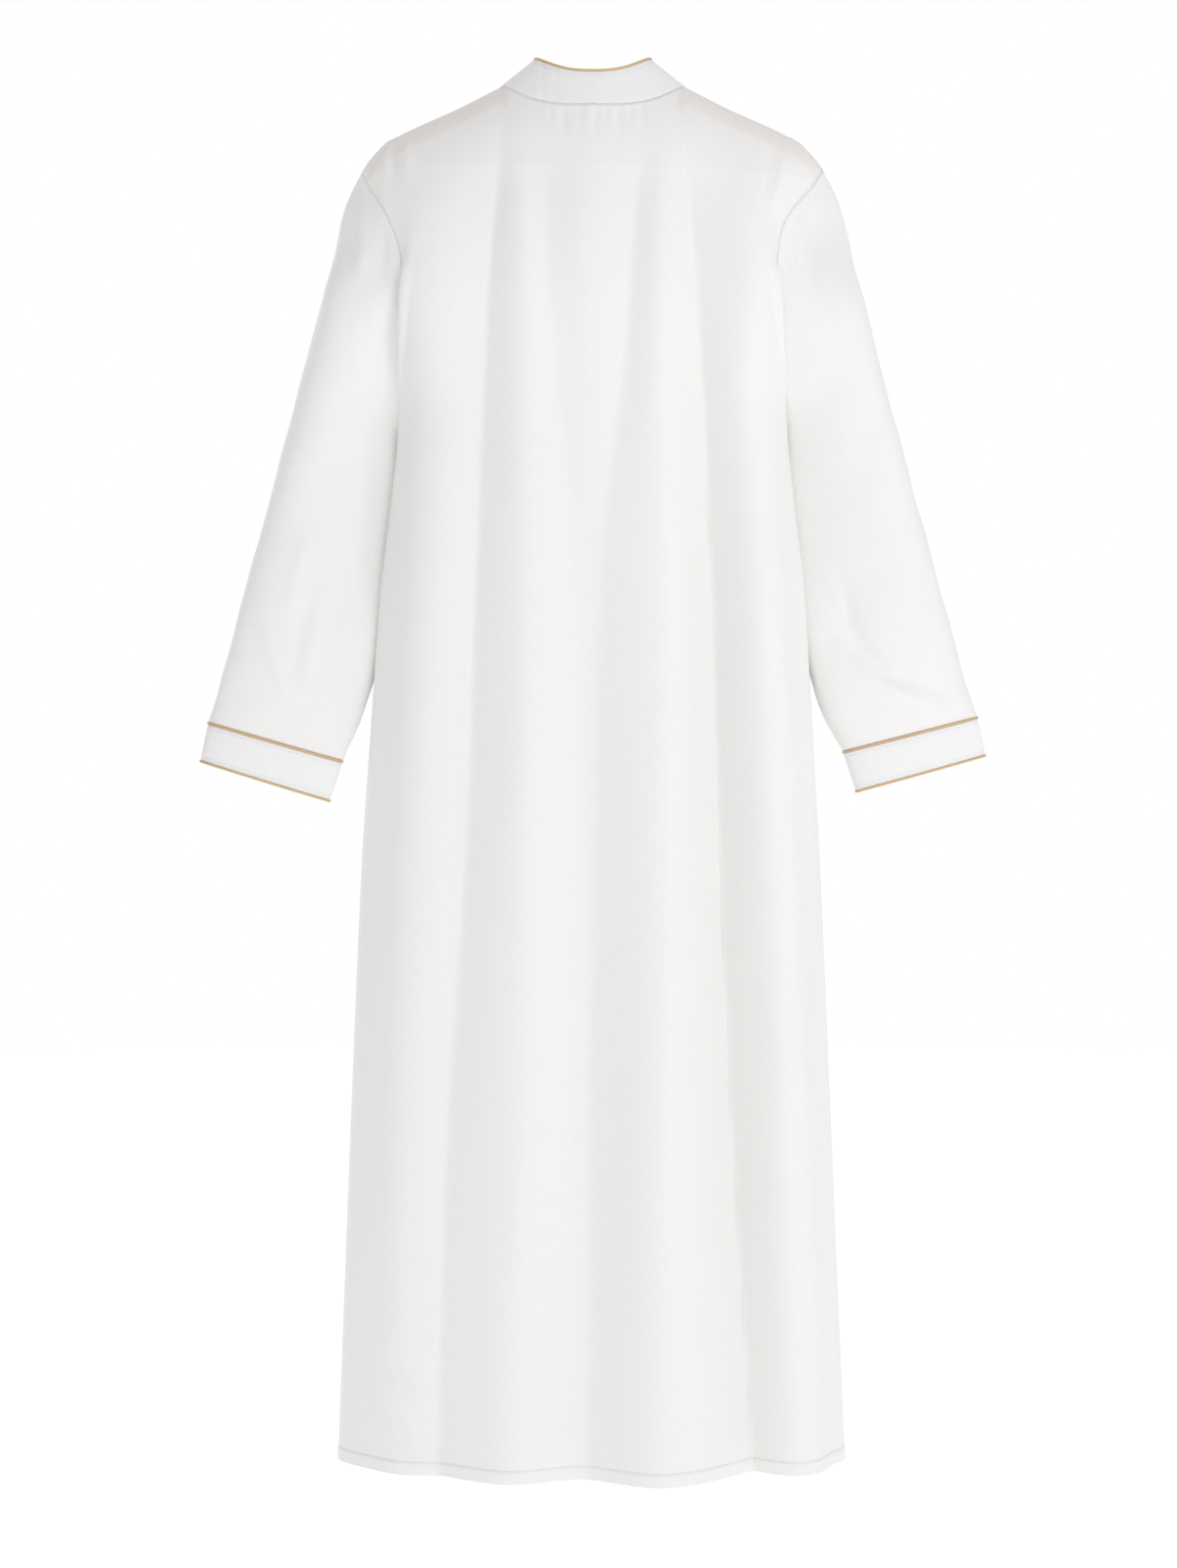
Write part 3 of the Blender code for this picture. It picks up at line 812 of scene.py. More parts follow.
@dataclass(frozen=True)
class WovenCloth:
    """Fine plain-woven cotton blend, white and thin.

    It scatters nearly all light, with a faint sheen at grazing angles. Where a second layer or a seam
    lies behind it, a slightly greyer colour is painted on: painted shade that stands in for the light
    which the inner layer keeps from shining through the thin cloth. The edges of such layers are read
    from the numbers that the pieces carry: double_over and triple_over say by how much a place lies inside
    the second and the third layer.
    """

    name: str = "cotton_poplin"
    single: str = "#EEEEED"
    # painted shade where a second layer, or a second and a third, lies behind the cloth
    double: str = "#EDECEC"
    triple: str = "#EBE6E4"
    roughness: float = 0.82  # woven staple yarn has no gloss
    sheen: float = 0.12
    thread_mm: float = 1.0  # real threads are 0.25 mm apart, too fine to show: drawn four times as coarse
    weave_relief: float = 0.00003
    slub_mm: float = 1.0  # width of the thick places in single threads, which are far longer
    slub_stretch: float = 0.08
    slub_relief: float = 0.00006
    slub_tone: float = 0.015
    crumple_mm: float = 22.0
    crumple_relief: float = 0.0010
    layer_edge_mm: float = 1.4  # how soft the edge of the painted shade over an inner layer is

    def make(self) -> Material:
        """Builds the material's nodes."""
        paint = Paint(self.name)
        pattern = paint.pattern()
        split = add_node(paint.tree, "ShaderNodeSeparateXYZ", {0: pattern})
        turn = 2 * math.pi * 1000 / (2 * self.thread_mm)
        waves = [
            paint.math("SINE", paint.math("MULTIPLY", split.outputs[axis], turn)) for axis in ("X", "Y")
        ]
        weave = paint.math("MULTIPLY", *waves)
        thin = self.slub_stretch
        slubs = [
            paint.noise(paint.scaled(pattern, by), self.slub_mm, Detail=2.0)
            for by in ((1, thin, 1), (thin, 1, 1))
        ]
        slub = paint.math("ADD", *slubs)
        crumple = paint.noise(pattern, self.crumple_mm, Detail=3.0, Roughness=0.45)
        colour = linear(self.single)
        edge = {"From Min": 0.0, "From Max": self.layer_edge_mm / 1000}
        # painted shade: a greyer colour over the places that lie inside an inner layer
        for key, shade in (("double_over", self.double), ("triple_over", self.triple)):
            over = add_node(paint.tree, "ShaderNodeAttribute", attribute_name=key)
            share = paint.mapped(over.outputs["Fac"], edge, interpolation_type="SMOOTHSTEP")
            colour = paint.blend(share, colour, linear(shade))
        tone = {"To Min": 1 - self.slub_tone, "To Max": 1 + self.slub_tone}
        fleck = paint.mapped(slub, {"From Min": 0.6, "From Max": 1.4, **tone})
        rumpled = paint.bump(crumple, self.crumple_relief, Strength=0.25)
        slubbed = paint.bump(slub, self.slub_relief, Normal=rumpled)
        return paint.finished(
            {
                "Base Color": paint.scaled(colour, fleck),
                "Roughness": self.roughness,
                "IOR": 1.5,
                "Sheen Weight": self.sheen,
                "Sheen Roughness": 0.5,
                "Normal": paint.bump(weave, self.weave_relief, Normal=slubbed),
            }
        )


@dataclass(frozen=True)
class TwistedCord:
    """Viscose piping cord with a gold lustre.

    Its colour has a painted highlight along the plies' crowns and painted shade in the grooves between them.
    """

    name: str = "gold_viscose_cord"
    # crown is the painted highlight along each ply, groove the painted shade between the plies
    crown: str = "#E8C79A"
    groove: str = "#B58A57"
    plies: int = 3
    roughness: float = 0.42  # long smooth filaments shine more than cotton
    metallic: float = 0.15
    fibre_mm: float = 0.5
    fibre_relief: float = 0.0001

    def make(self) -> Material:
        """Builds the material's nodes."""
        paint = Paint(self.name)
        pattern = paint.pattern()
        split = add_node(paint.tree, "ShaderNodeSeparateXYZ", {0: pattern})
        # painted light: lighter along each ply's crown, darker in the grooves
        turned = paint.math("MULTIPLY", split.outputs["X"], self.plies * math.pi)
        crown = paint.math("ABSOLUTE", paint.math("COSINE", turned))
        share = paint.mapped(
            crown, {"From Min": 0.05, "From Max": 0.65}, interpolation_type="SMOOTHSTEP"
        )
        fibres = paint.noise(pattern, self.fibre_mm, Detail=2.0)
        return paint.finished(
            {
                "Base Color": paint.blend(share, linear(self.groove), linear(self.crown)),
                "Roughness": self.roughness,
                "Metallic": self.metallic,
                "Normal": paint.bump(fibres, self.fibre_relief),
            }
        )


@dataclass(frozen=True)
class PearlResin:
    """Polished polyester resin with a pearl filler, as shirt buttons are cut from.

    Clouds a few millimetres across drift between two near whites under a clear gloss.
    """

    name: str = "pearl_polyester"
    pale: str = "#F4F1EA"
    deep: str = "#DED8CC"
    roughness: float = 0.22
    cloud_mm: float = 4.0

    def make(self) -> Material:
        """Builds the material's nodes."""
        paint = Paint(self.name)
        place = add_node(paint.tree, "ShaderNodeTexCoord").outputs["Object"]
        cloud = paint.noise(place, self.cloud_mm, Detail=3.0, Distortion=1.2)
        return paint.finished(
            {
                "Base Color": paint.blend(cloud, linear(self.deep), linear(self.pale)),
                "Roughness": self.roughness,
                "IOR": 1.55,
                "Coat Weight": 0.4,
                "Coat Roughness": 0.08,
            }
        )


@dataclass(frozen=True)
class StudioWhite:
    """Matt white painted board for the floor, lit from below so that it stays pale."""

    name: str = "white_board"
    colour: str = "#F4F4F4"
    glow: float = 0.50

    def make(self) -> Material:
        """Builds the material's nodes."""
        white = linear(self.colour)
        return Paint(self.name).finished(
            {
                "Base Color": white,
                "Roughness": 0.9,
                "Emission Color": white,
                "Emission Strength": self.glow,
            }
        )


@dataclass
class Finishes:
    """The robe's materials, made once and shared."""

    cloth: Material = field(default_factory=lambda: WovenCloth().make())
    # the band's painted shade over its doubled parts is one grey for two and for three layers
    band: Material = field(
        default_factory=lambda: WovenCloth(
            name="interlined_poplin", single="#EFEFF0", double="#EBEBEC", triple="#EBEBEC"
        ).make()
    )
    cord: Material = field(default_factory=lambda: TwistedCord().make())
    button: Material = field(default_factory=lambda: PearlResin().make())


# ---- The pieces ----
@dataclass
class Panels:
    """The back, the front, the yoke facing inside the back, and their hems."""

    form: BodyForm
    finishes: Finishes
    cloth: float = 0.0005
    columns: int = 168
    armhole_rows: int = 84
    skirt_rows: int = 164
    hem_height: float = 0.0135
    hem_swell: float = 0.0005
    hem_edge: float = 0.002  # height over which the hem's swell comes
    hem_groove: Pair = (0.0004, 0.0009)  # depth and width of the groove at its stitches
    yoke_reach: float = 0.20  # half the width over which the yoke's edge slants
    yoke_inside: float = 0.0012  # how far the yoke lies inside the back
    yoke_left_z: float = -0.0945  # the yoke's lower edge at the wearer's left
    yoke_right_z: float = -0.1025
    # width along the shoulder seams over which painted shade marks a seam allowance behind the cloth
    shoulder_band: float = 0.028
    back_flat: Pair = (0.705, 1.48)
    front_flat: Pair = (0.66, 1.48)
    back_area: float = 0.87
    front_area: float = 0.80
    yoke_flat: Pair = (0.46, 0.118)
    yoke_area: float = 0.037

    def ways(self) -> Array:
        """Gives the rows from the top edge to the hem, closer together at the hem's stitches."""
        upper = np.linspace(0, 1, self.armhole_rows, endpoint=False)
        skirt = np.linspace(1, 2, self.skirt_rows)
        length = self.form.underarm_z - self.form.hem_z
        above = np.array([0.019, 0.0165, 0.0150, 0.0142, 0.0135, 0.0128, 0.0120, 0.0105, 0.006, 0.001])
        skirt = skirt[(2 - skirt) * length > 0.021]
        return np.concatenate([upper, skirt, 2 - above / length, [2.0]])

    def surface(self, face: Face) -> Array:
        """Places the points of a panel, by row and column, with its hem's swell."""
        across = np.linspace(-1, 1, self.columns + 1) * -face.value
        grid = self.form.place(face, across[None], self.ways()[:, None])
        above = grid[..., 2] - self.form.hem_z
        swell = self.hem_swell * ease((self.hem_height - above) / self.hem_edge)
        sunk = groove(above - self.hem_height, *self.hem_groove)
        return grid + grid_normals(grid, False) * (swell - sunk)[..., None]

    def layers(self, face: Face, grid: Array) -> dict[str, Array]:
        """Measures how far each point lies inside the inner layers, over which the cloth's finish paints
        shade.

        Args:
            face: the back or the front.
            grid: the panel's points.

        Returns:
            The numbers that the cloth's finish reads.
        """
        x, z = grid[..., 0], grid[..., 2]
        drop = self.form.top_z(face, np.abs(x)) - z
        beyond_neck = np.abs(x) - self.form.neck_x * 0.9
        # painted shade in a band along the shoulder seam
        band = np.minimum(self.shoulder_band - drop, beyond_neck)
        if face is Face.FRONT:
            return {"double_over": band, "triple_over": np.full(x.shape, NO_LAYER)}
        # painted shade above the yoke's lower edge, which slants a little across the back
        share = (x + self.yoke_reach) / (2 * self.yoke_reach)
        yoke = z - mix(self.yoke_right_z, self.yoke_left_z, share)
        return {"double_over": yoke, "triple_over": band}

    def build_panel(self, face: Face) -> Piece:
        """Makes the back or the front with its hem's stitches.

        Args:
            face: the back or the front.

        Returns:
            The panel.
        """
        name = face.name.lower()
        grid = self.surface(face)
        mesh = grid_mesh(name, grid, False, self.layers(face, grid))
        panel = add_piece(f"body_{name}", mesh, self.finishes.cloth, (name,))
        add_wall(panel, self.cloth)
        across = np.linspace(-0.995, 0.995, 500) * -face.value
        way = 2 - self.hem_height / (self.form.underarm_z - self.form.hem_z)
        row = self.form.place(face, across, np.full(across.shape, way))
        below = self.form.place(face, across, np.full(across.shape, way + 0.001))
        normals = unit(np.cross(below - row, np.gradient(row, axis=0)))
        rows = [(row + normals * STITCH_STAND, normals)]
        stitches = add_stitches(f"hem_stitches_{name}", rows, self.finishes.cloth)
        return panel

    def build_yoke(self) -> Piece:
        """Makes the second layer inside the back, from the shoulders to a level line."""
        across = np.linspace(0.9, -0.9, 90)[None]
        top = self.form.top_z(Face.BACK, np.abs(across) * self.form.shoulder_x)
        lower = mix(self.yoke_right_z, self.yoke_left_z, across / 2 + 0.5)
        share = np.linspace(0.03, 1, 18)[:, None]
        way = share * (lower - top) / (self.form.underarm_z - top)
        grid = self.form.place(Face.BACK, across, way)
        grid = grid - grid_normals(grid, False) * self.yoke_inside
        fields = {"double_over": np.full(grid.shape[:2], NO_LAYER)}
        mesh = grid_mesh("yoke", grid, False, fields)
        yoke = add_piece(
            "yoke_facing", mesh, self.finishes.cloth, ("back_yoke_facing",)
        )
        add_wall(yoke, self.cloth)
        return yoke

    def build(self) -> None:
        """Makes both panels and the yoke."""
        self.build_panel(Face.BACK)
        self.build_panel(Face.FRONT)
        self.build_yoke()


@dataclass(frozen=True)
class SleeveRing:
    """The sleeve's cross-section: its outer and inner points, and half its depth in Y."""

    outer_x: float
    outer_z: float
    inner_x: float
    inner_z: float
    half_depth: float
    inner_y: float = 0.0  # how far toward the back the inner point lies
    thin: float = 0.0  # share of the depth lost toward the inner point


@dataclass
class Sleeve:
    """One set-in sleeve with its corded band cuff."""

    form: BodyForm
    finishes: Finishes
    side: Side
    cloth: float = 0.0005
    band: float = 0.0016
    around: int = 144
    rows_between: tuple[int, ...] = (12, 20, 22, 28, 32, 20, 14)
    from_shoulder: Pair = (0.020, -0.045)
    from_underarm: Pair = (-0.002, -0.013)
    narrowing: float = 0.97
    rings: tuple[SleeveRing, ...] = (
        SleeveRing(0.2810, -0.215, 0.2010, -0.372, 0.078, 0.010, 0.60),
        SleeveRing(0.3038, -0.302, 0.2010, -0.404, 0.070, 0.012, 0.75),
        SleeveRing(0.3360, -0.421, 0.2070, -0.475, 0.059, 0.012, 0.75),
        SleeveRing(0.3715, -0.552, 0.2215, -0.592, 0.046, 0.012, 0.50),
        SleeveRing(0.3906, -0.622, 0.2430, -0.662, 0.034, 0.004, 0.15),
        SleeveRing(0.4045, -0.6690, 0.2635, -0.7095, 0.024),
    )
    cuff_end: SleeveRing = SleeveRing(0.4128, -0.7090, 0.2770, -0.7510, 0.022)
    fullness: float = 0.8  # power that flattens the sleeve's back and front, from 1 for an ellipse
    seam_groove: Pair = (0.0002, 0.0015)  # depth and width
    cuff_height: float = 0.0441
    cuff_stitches: Pair = (0.0040, 0.0365)  # how far under the cuff's upper edge
    cuff_groove: Pair = (0.0005, 0.0010)
    cuff_swell: float = 0.0003
    cuff_turning: float = 0.0036  # how wide the painted shade over the turned-in edges is
    cuff_lift: Pair = (0.0, 0.0)  # how much higher its outer and inner ends hang
    cord: Cord = Cord()
    room: float = 0.0014  # from a cord's middle to the cloth beside it
    sleeve_flat: Pair = (0.51, 0.60)
    sleeve_area: float = 0.185
    cuff_flat: Pair = (0.325, 0.042)
    back_creases: tuple[Crease, ...] = ()
    front_creases: tuple[Crease, ...] = ()

    def name(self, piece: str) -> str:
        """Names one of this sleeve's pieces."""
        return f"{piece}_{self.side.name.lower()}"

    def turned(self) -> Array:
        """Gives the angles round the sleeve, from its outer point round the back."""
        return np.linspace(0, 2 * math.pi, self.around, endpoint=False)

    def ring(self, ring: SleeveRing) -> Array:
        """Places an elliptical ring's points, before they are mirrored for the right arm."""
        angle = self.turned()
        middle = ((ring.outer_x + ring.inner_x) / 2, (ring.outer_z + ring.inner_z) / 2)
        half = ((ring.outer_x - ring.inner_x) / 2, (ring.outer_z - ring.inner_z) / 2)
        deep = np.copysign(np.abs(np.sin(angle)) ** self.fullness, np.sin(angle))
        inward = (1 - np.cos(angle)) / 2
        y = ring.half_depth * deep * (1 - ring.thin * inward) + ring.inner_y * inward
        x, z = middle[0] + half[0] * np.cos(angle), middle[1] + half[1] * np.cos(angle)
        return np.stack([x, y, z], -1)

    def cuff_edges(self) -> tuple[Array, Array]:
        """Places the cuff's upper and lower edges."""
        outward = (1 + np.cos(self.turned())) / 2
        lift = mix(self.cuff_lift[1], self.cuff_lift[0], outward)[:, None] * np.array([0, 0, 1])
        return self.ring(self.rings[-1]) + lift, self.ring(self.cuff_end) + lift

    def armhole(self) -> Array:
        """Places points on the body's armhole, by equal shares of its back and front edges."""
        halves = []
        ways = np.linspace(0, 1, 200)
        for face in (Face.BACK, Face.FRONT):
            edge = self.form.place(face, np.full(ways.shape, float(self.side.value)), ways)
            length = walked(edge, 0)
            count = self.around // 2
            new = np.linspace(0, length[-1], count + 1)
            halves.append(np.stack([np.interp(new, length, edge[:, k]) for k in range(3)], -1))
        ring = np.concatenate([halves[0], halves[1][-2:0:-1]])
        ring[:, 0] *= self.side.value
        return ring

    def loft(self) -> Array:
        """Lofts the sleeve through its rings, from the armhole to the cuff's upper cord."""
        start = self.armhole()
        low = (1 - np.cos(self.turned())) / 2
        first = start * np.array([1, self.narrowing, 1])
        first[:, 0] += mix(self.from_shoulder[0], self.from_underarm[0], low)
        first[:, 2] += mix(self.from_shoulder[1], self.from_underarm[1], low)
        upper, lower = self.cuff_edges()
        end = upper - unit(lower - upper) * self.room
        table = [start, first] + [self.ring(r) for r in self.rings[:-1]] + [end]
        last = len(table) - 1
        rows = []
        for i, count in enumerate(self.rows_between):
            # a Catmull-Rom curve goes through the rings, with the first and last ones repeated
            p = [table[min(max(i + k, 0), last)] for k in (-1, 0, 1, 2)]
            for s in np.arange(count) / count:
                rows.append(
                    p[0] * (-s + 2 * s**2 - s**3) / 2
                    + p[1] * (2 - 5 * s**2 + 3 * s**3) / 2
                    + p[2] * (s + 4 * s**2 - 3 * s**3) / 2
                    + p[3] * (s**3 - s**2) / 2
                )
        rows.append(table[last])
        return np.array(rows)

    def finished(self, rows: Array) -> Array:
        """Mirrors rows of points for the right arm, with each row anticlockwise from above."""
        rows = rows * np.array([self.side.value, 1, 1])
        return rows if self.side is Side.LEFT else rows[:, ::-1]

    def build_sleeve(self) -> Piece:
        """Makes the sleeve with its creases."""
        grid = self.finished(self.loft())
        normals = grid_normals(grid, True)
        x, z = grid[..., 0], grid[..., 2]
        depth = np.zeros(x.shape)
        for face, creases in ((Face.BACK, self.back_creases), (Face.FRONT, self.front_creases)):
            facing = ease((normals[..., 1] * face.value) / 0.6)
            depth += facing * sum((c.depth_at(x, z) for c in creases), np.zeros(x.shape))
        way = walked(grid, 0)
        ripples = Ripples(height=0.0004, widths=(0.04, 0.12), slant=0.9)
        away = ease(way / 0.04) * ease((way[-1:] - way) / 0.03)
        depth = (depth + ripples.height_at(x + grid[..., 1], z)) * away
        grid = grid - normals * (depth + groove(way, *self.seam_groove))[..., None]
        fields = {key: np.full(x.shape, NO_LAYER) for key in ("double_over", "triple_over")}
        mesh = grid_mesh(self.name("sleeve"), grid, True, fields)
        sleeve = add_piece(
            self.name("arm_sleeve"), mesh, self.finishes.cloth, (self.name("sleeve"),)
        )
        add_wall(sleeve, self.cloth)
        return sleeve

    def build_cuff(self) -> Piece:
        """Makes the cuff, the cords on both its edges and its two rows of stitches."""
        upper, lower = self.cuff_edges()
        down = unit(lower - upper)
        length = np.linalg.norm(lower - upper, axis=-1)[:, None]
        spans = np.array([0, 0.03, 0.06, 0.09, 0.12, 0.16, 0.3, 0.5, 0.7, 0.84, 0.88, 0.91, 0.94, 0.97, 1])
        shares = spans[:, None, None]
        grid = self.finished(upper + down * (self.room + shares * (length - 2 * self.room)))
        normals = grid_normals(grid, True)
        from_edge = self.cuff_stitches[0]
        near_edge = np.minimum(spans, 1 - spans)[:, None] * sum(self.cuff_stitches)
        sunk = groove(near_edge - from_edge, *self.cuff_groove)
        swell = self.cuff_swell * ease(near_edge / from_edge)
        grid = grid + normals * (swell - sunk)[..., None]
        # painted shade over the turned-in edges under the cords
        fields = {"double_over": np.broadcast_to(self.cuff_turning - near_edge, grid.shape[:2])}
        mesh = grid_mesh(self.name("cuff"), grid, True, fields)
        cuff = add_piece(
            self.name("band_cuff"), mesh, self.finishes.band, (self.name("cuff"),)
        )
        add_wall(cuff, self.band)
        for end, middle in (("upper", upper), ("lower", lower)):
            cord_mesh = self.cord.mesh(self.name(f"cord_{end}"), self.finished(middle[None])[0], True)
            node = self.name(f"cuff_piping_{end}")
            add_piece(self.name(f"cord_{end}"), cord_mesh, self.finishes.cord, (node,))
        rows = []
        for place in self.cuff_stitches:
            below = self.room + place * length / self.cuff_height
            row = self.finished((upper + down * below)[None])[0]
            row = np.concatenate([row, row[:1]])
            out = np.concatenate([normals[6], normals[6, :1]])
            rows.append((row + out * STITCH_STAND, out))
        stitches = add_stitches(self.name("cuff_stitches"), rows, self.finishes.band)
        self.name("arm_sleeve")
        return cuff

    def build(self) -> None:
        """Makes the sleeve and its cuff."""
        sleeve = self.build_sleeve()
        self.build_cuff()


@dataclass
class StandCollar:
    """The collar band, its cord and its stitches."""

    form: BodyForm
    finishes: Finishes
    band: float = 0.0016
    top_x: float = 0.0614
    side_z: float = 0.0286
    side_y: float = -0.002
    back_top: Pair = (0.055, 0.0056)  # y and z at the centre back
    front_top: Pair = (-0.078, -0.040)
    plan_power: float = 2.2
    gap_x: float = 0.003  # from the centre front to each end
    steps: int = 44  # places in a quarter of the way round
    cord: Cord = Cord()
    room: float = 0.0014
    stitches_below: float = 0.0047
    groove: Pair = (0.0006, 0.0010)  # depth and width
    foot_turn: float = 0.0003  # how far the foot's edge turns in
    crease_width: float = 0.0022
    flat: Pair = (0.54, 0.044)
    # each crease's place across and depth
    creases: tuple[Pair, ...] = ((0.0385, 0.0009), (0.0515, 0.0012), (0.0565, -0.0008))

    def edges(self) -> tuple[Array, Array]:
        """Places the collar's foot and its top, from its right end at the front and round.

        Returns:
            The points of the foot and those of the top, anticlockwise seen from above.
        """
        share = np.sin(np.linspace(0, math.pi / 2, self.steps + 1))
        share[0] = self.gap_x / self.form.neck_x
        feet, tops = [], []
        for face in (Face.FRONT, Face.BACK):
            x = share * self.form.neck_x
            z = self.form.neckline_z(face, x)
            y = face.value * self.form.smooth_y(face, x, z)
            feet.append(np.stack([x, y, z], -1))
            end_y, end_z = self.front_top if face is Face.FRONT else self.back_top
            plan = (1 - share**self.plan_power) ** (1 / self.plan_power)
            rise = share ** (1.8 if face is Face.FRONT else 2.4)
            tops.append(
                np.stack(
                    [x * self.top_x / self.form.neck_x, mix(self.side_y, end_y, plan),
                     mix(end_z, self.side_z, rise)],
                    -1,
                )
            )
        rounds = []
        for front, back in (feet, tops):
            back[0, 0] = 0.0
            half = np.concatenate([front, back[-2::-1]])
            mirrored = half[-2::-1] * np.array([-1, 1, 1])
            rounds.append(np.concatenate([half, mirrored]))
        return rounds[0], rounds[1]

    def build(self) -> Piece:
        """Makes the band with its soft creases, its cord and its stitches."""
        foot, top = self.edges()
        down = unit(foot - top)
        length = np.linalg.norm(foot - top, axis=-1)[:, None]
        spans = np.array([0, 0.04, 0.07, 0.10, 0.13, 0.17, 0.25, 0.4, 0.55, 0.7, 0.82, 0.91, 0.96, 1.0])
        shares = spans[:, None, None]
        grid = top + down * (self.room + shares * (length - self.room - 0.0002))
        normals = grid_normals(grid, False)
        below = spans[:, None] * (length[:, 0] - self.room)
        sunk = groove(below - self.stitches_below, *self.groove)
        middle = np.sin(math.pi * np.clip(spans, 0, 1))[:, None] ** 0.5
        dents = np.zeros(grid.shape[:2])
        for x, depth in self.creases:
            dents += groove(grid[..., 0] - x, depth, self.crease_width) * (grid[..., 1] > 0) * middle
        foot_turn = self.foot_turn * ease((spans - 0.9) / 0.1)[:, None]
        grid = grid - normals * (sunk + dents + foot_turn)[..., None]
        # painted shade over the doubled band above its stitches
        fields = {"double_over": self.stitches_below - below}
        mesh = grid_mesh("collar", grid, False, fields)
        collar = add_piece("collar_band", mesh, self.finishes.band, ("collar",))
        add_wall(collar, self.band)
        cord_mesh = self.cord.mesh("collar_cord", top, False)
        cord = add_piece("collar_cord", cord_mesh, self.finishes.cord, ("collar_piping",))
        row = top + down * (self.room + self.stitches_below) + normals[4] * -0.0002
        rows = [(row, normals[4])]
        stitches = add_stitches("collar_stitches", rows, self.finishes.band)
        return collar


@dataclass
class Placket:
    """The band over the front slit, with its four buttons."""

    form: BodyForm
    finishes: Finishes
    half_width: float = 0.016
    cloth: float = 0.0008
    lift: float = 0.0012
    edge_stitches: float = 0.0020
    cross_stitches: Pair = (0.003, 0.030)  # how far above its lower end
    groove: Pair = (0.0004, 0.0010)  # depth and width
    button_radius: float = 0.006
    button_height: float = 0.0024
    button_stand: float = 0.0004  # between a button's back and the placket's face
    hole_away: float = 0.0013  # from a button's middle
    hole_depth: float = 0.0011
    hole_radius: float = 0.00062
    diagonal: float = 0.7071  # share of hole_away that a hole lies across and up
    flat: Pair = (0.032, 0.265)

    def surface(self, x: Array, z: Array, lift: float) -> tuple[Array, Array]:
        """Places points over the front, lifted off it along its normals.

        Args:
            x: where they are across.
            z: how high they are.
            lift: how far they stand off the front.

        Returns:
            The points and the normals there.
        """
        normals = self.form.normal(Face.FRONT, x, z)
        points = np.stack([x, self.form.y(Face.FRONT, x, z), z], -1)
        return points + normals * lift, normals

    def button_mesh(self) -> Mesh:
        """Turns a button with a rim, a dish and four pits, lying flat with its face up."""
        radius, height = self.button_radius, self.button_height
        profile = Curve(
            (0.0, 0.45, 0.62, 0.78, 0.92, 1.0),
            tuple(height * h for h in (0.62, 0.62, 0.70, 1.0, 0.92, 0.55)),
        )
        rings, sides = 22, 56
        out = np.linspace(1, 0.02, rings)
        angle = np.linspace(0, 2 * math.pi, sides, endpoint=False)
        r, a = np.meshgrid(out * radius, angle, indexing="ij")
        x, y = r * np.cos(a), r * np.sin(a)
        z = profile.at(r / radius)
        for k in range(4):
            turn = math.pi / 4 + k * math.pi / 2
            away = np.hypot(x - self.hole_away * math.cos(turn), y - self.hole_away * math.sin(turn))
            z = z - self.hole_depth * np.exp(-((away / self.hole_radius) ** 4))
        top = np.stack([x, y, z], -1)
        rim = top[:1] * np.array([1, 1, 0]) + np.array([0, 0, height * 0.15])
        base = rim * np.array([0.86, 0.86, 0])
        grid = np.concatenate([base, rim, top])
        return grid_mesh("button", grid[::-1], True, {})

    def build_button(self, number: int) -> Piece:
        """Makes a button where its CAD node is, sewn on with crossed threads."""
        low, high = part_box(f"button_{number}")
        z = (low.z + high.z) / 2
        flat = self.button_mesh()
        place, normal = self.surface(np.array([0.0]), np.array([z]), self.lift + self.button_stand)
        place, normal = place[0], normal[0]
        across = np.array([1.0, 0, 0])
        up = np.cross(normal, across)
        turn = np.stack([across, up, normal], 1)
        points = np.array([v.co[:] for v in flat.vertices]) @ turn.T + place
        flat.vertices.foreach_set("co", points.astype(np.float32).ravel())
        button = add_piece(
            f"front_button_{number}", flat, self.finishes.button, (f"button_{number}",)
        )
        rows = []
        for slant in (1, -1):
            ends = np.array([[-1, -slant, 0], [1, slant, 0]]) * self.hole_away * self.diagonal
            path = (ends + np.array([0, 0, self.button_height * 0.60])) @ turn.T + place
            rows.append((path[[0, 0, 1]] * 0.5 + path[[0, 1, 1]] * 0.5, np.tile(normal, (3, 1))))
        thread = Thread(length=0.0016, gap=0.0001, radius=0.00028)
        threads = add_piece(
            f"button_thread_{number}",
            thread.mesh(f"button_thread_{number}", rows),
            self.finishes.cloth,
        )
        threads.parent = button
        return button

    def build(self) -> Piece:
        """Makes the band, its stitches and its buttons."""
        low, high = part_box("placket")
        z = np.linspace(high.z, low.z, 90)[:, None]
        top = self.form.neckline_z(Face.FRONT, np.array(0.0)) - 0.001
        z = np.minimum(z, top)
        x = np.linspace(-self.half_width, self.half_width, 20)[None]
        x, z = np.broadcast_arrays(x, z)
        grid, normals = self.surface(x, z, self.lift)
        edge = self.half_width - np.abs(x)
        grid = grid - normals * groove(edge - self.edge_stitches, *self.groove)[..., None]
        # painted shade of a second layer over the whole band
        mesh = grid_mesh("placket", grid, False, {"double_over": np.full(x.shape, 1.0)})
        band = add_piece("front_placket", mesh, self.finishes.cloth, ("placket",))
        add_wall(band, self.cloth)
        rows = []
        inner = self.half_width - self.edge_stitches
        z_down = np.linspace(top, low.z, 120)
        for side in (-1, 1):
            rows.append(self.surface(np.full(z_down.shape, side * inner), z_down, self.lift))
        across = np.linspace(-inner, inner, 30)
        for up in self.cross_stitches:
            rows.append(self.surface(across, np.full(across.shape, low.z + up), self.lift))
        stitches = add_stitches("placket_stitches", rows, self.finishes.cloth)
        for number in range(1, 5):
            self.build_button(number)
        return band


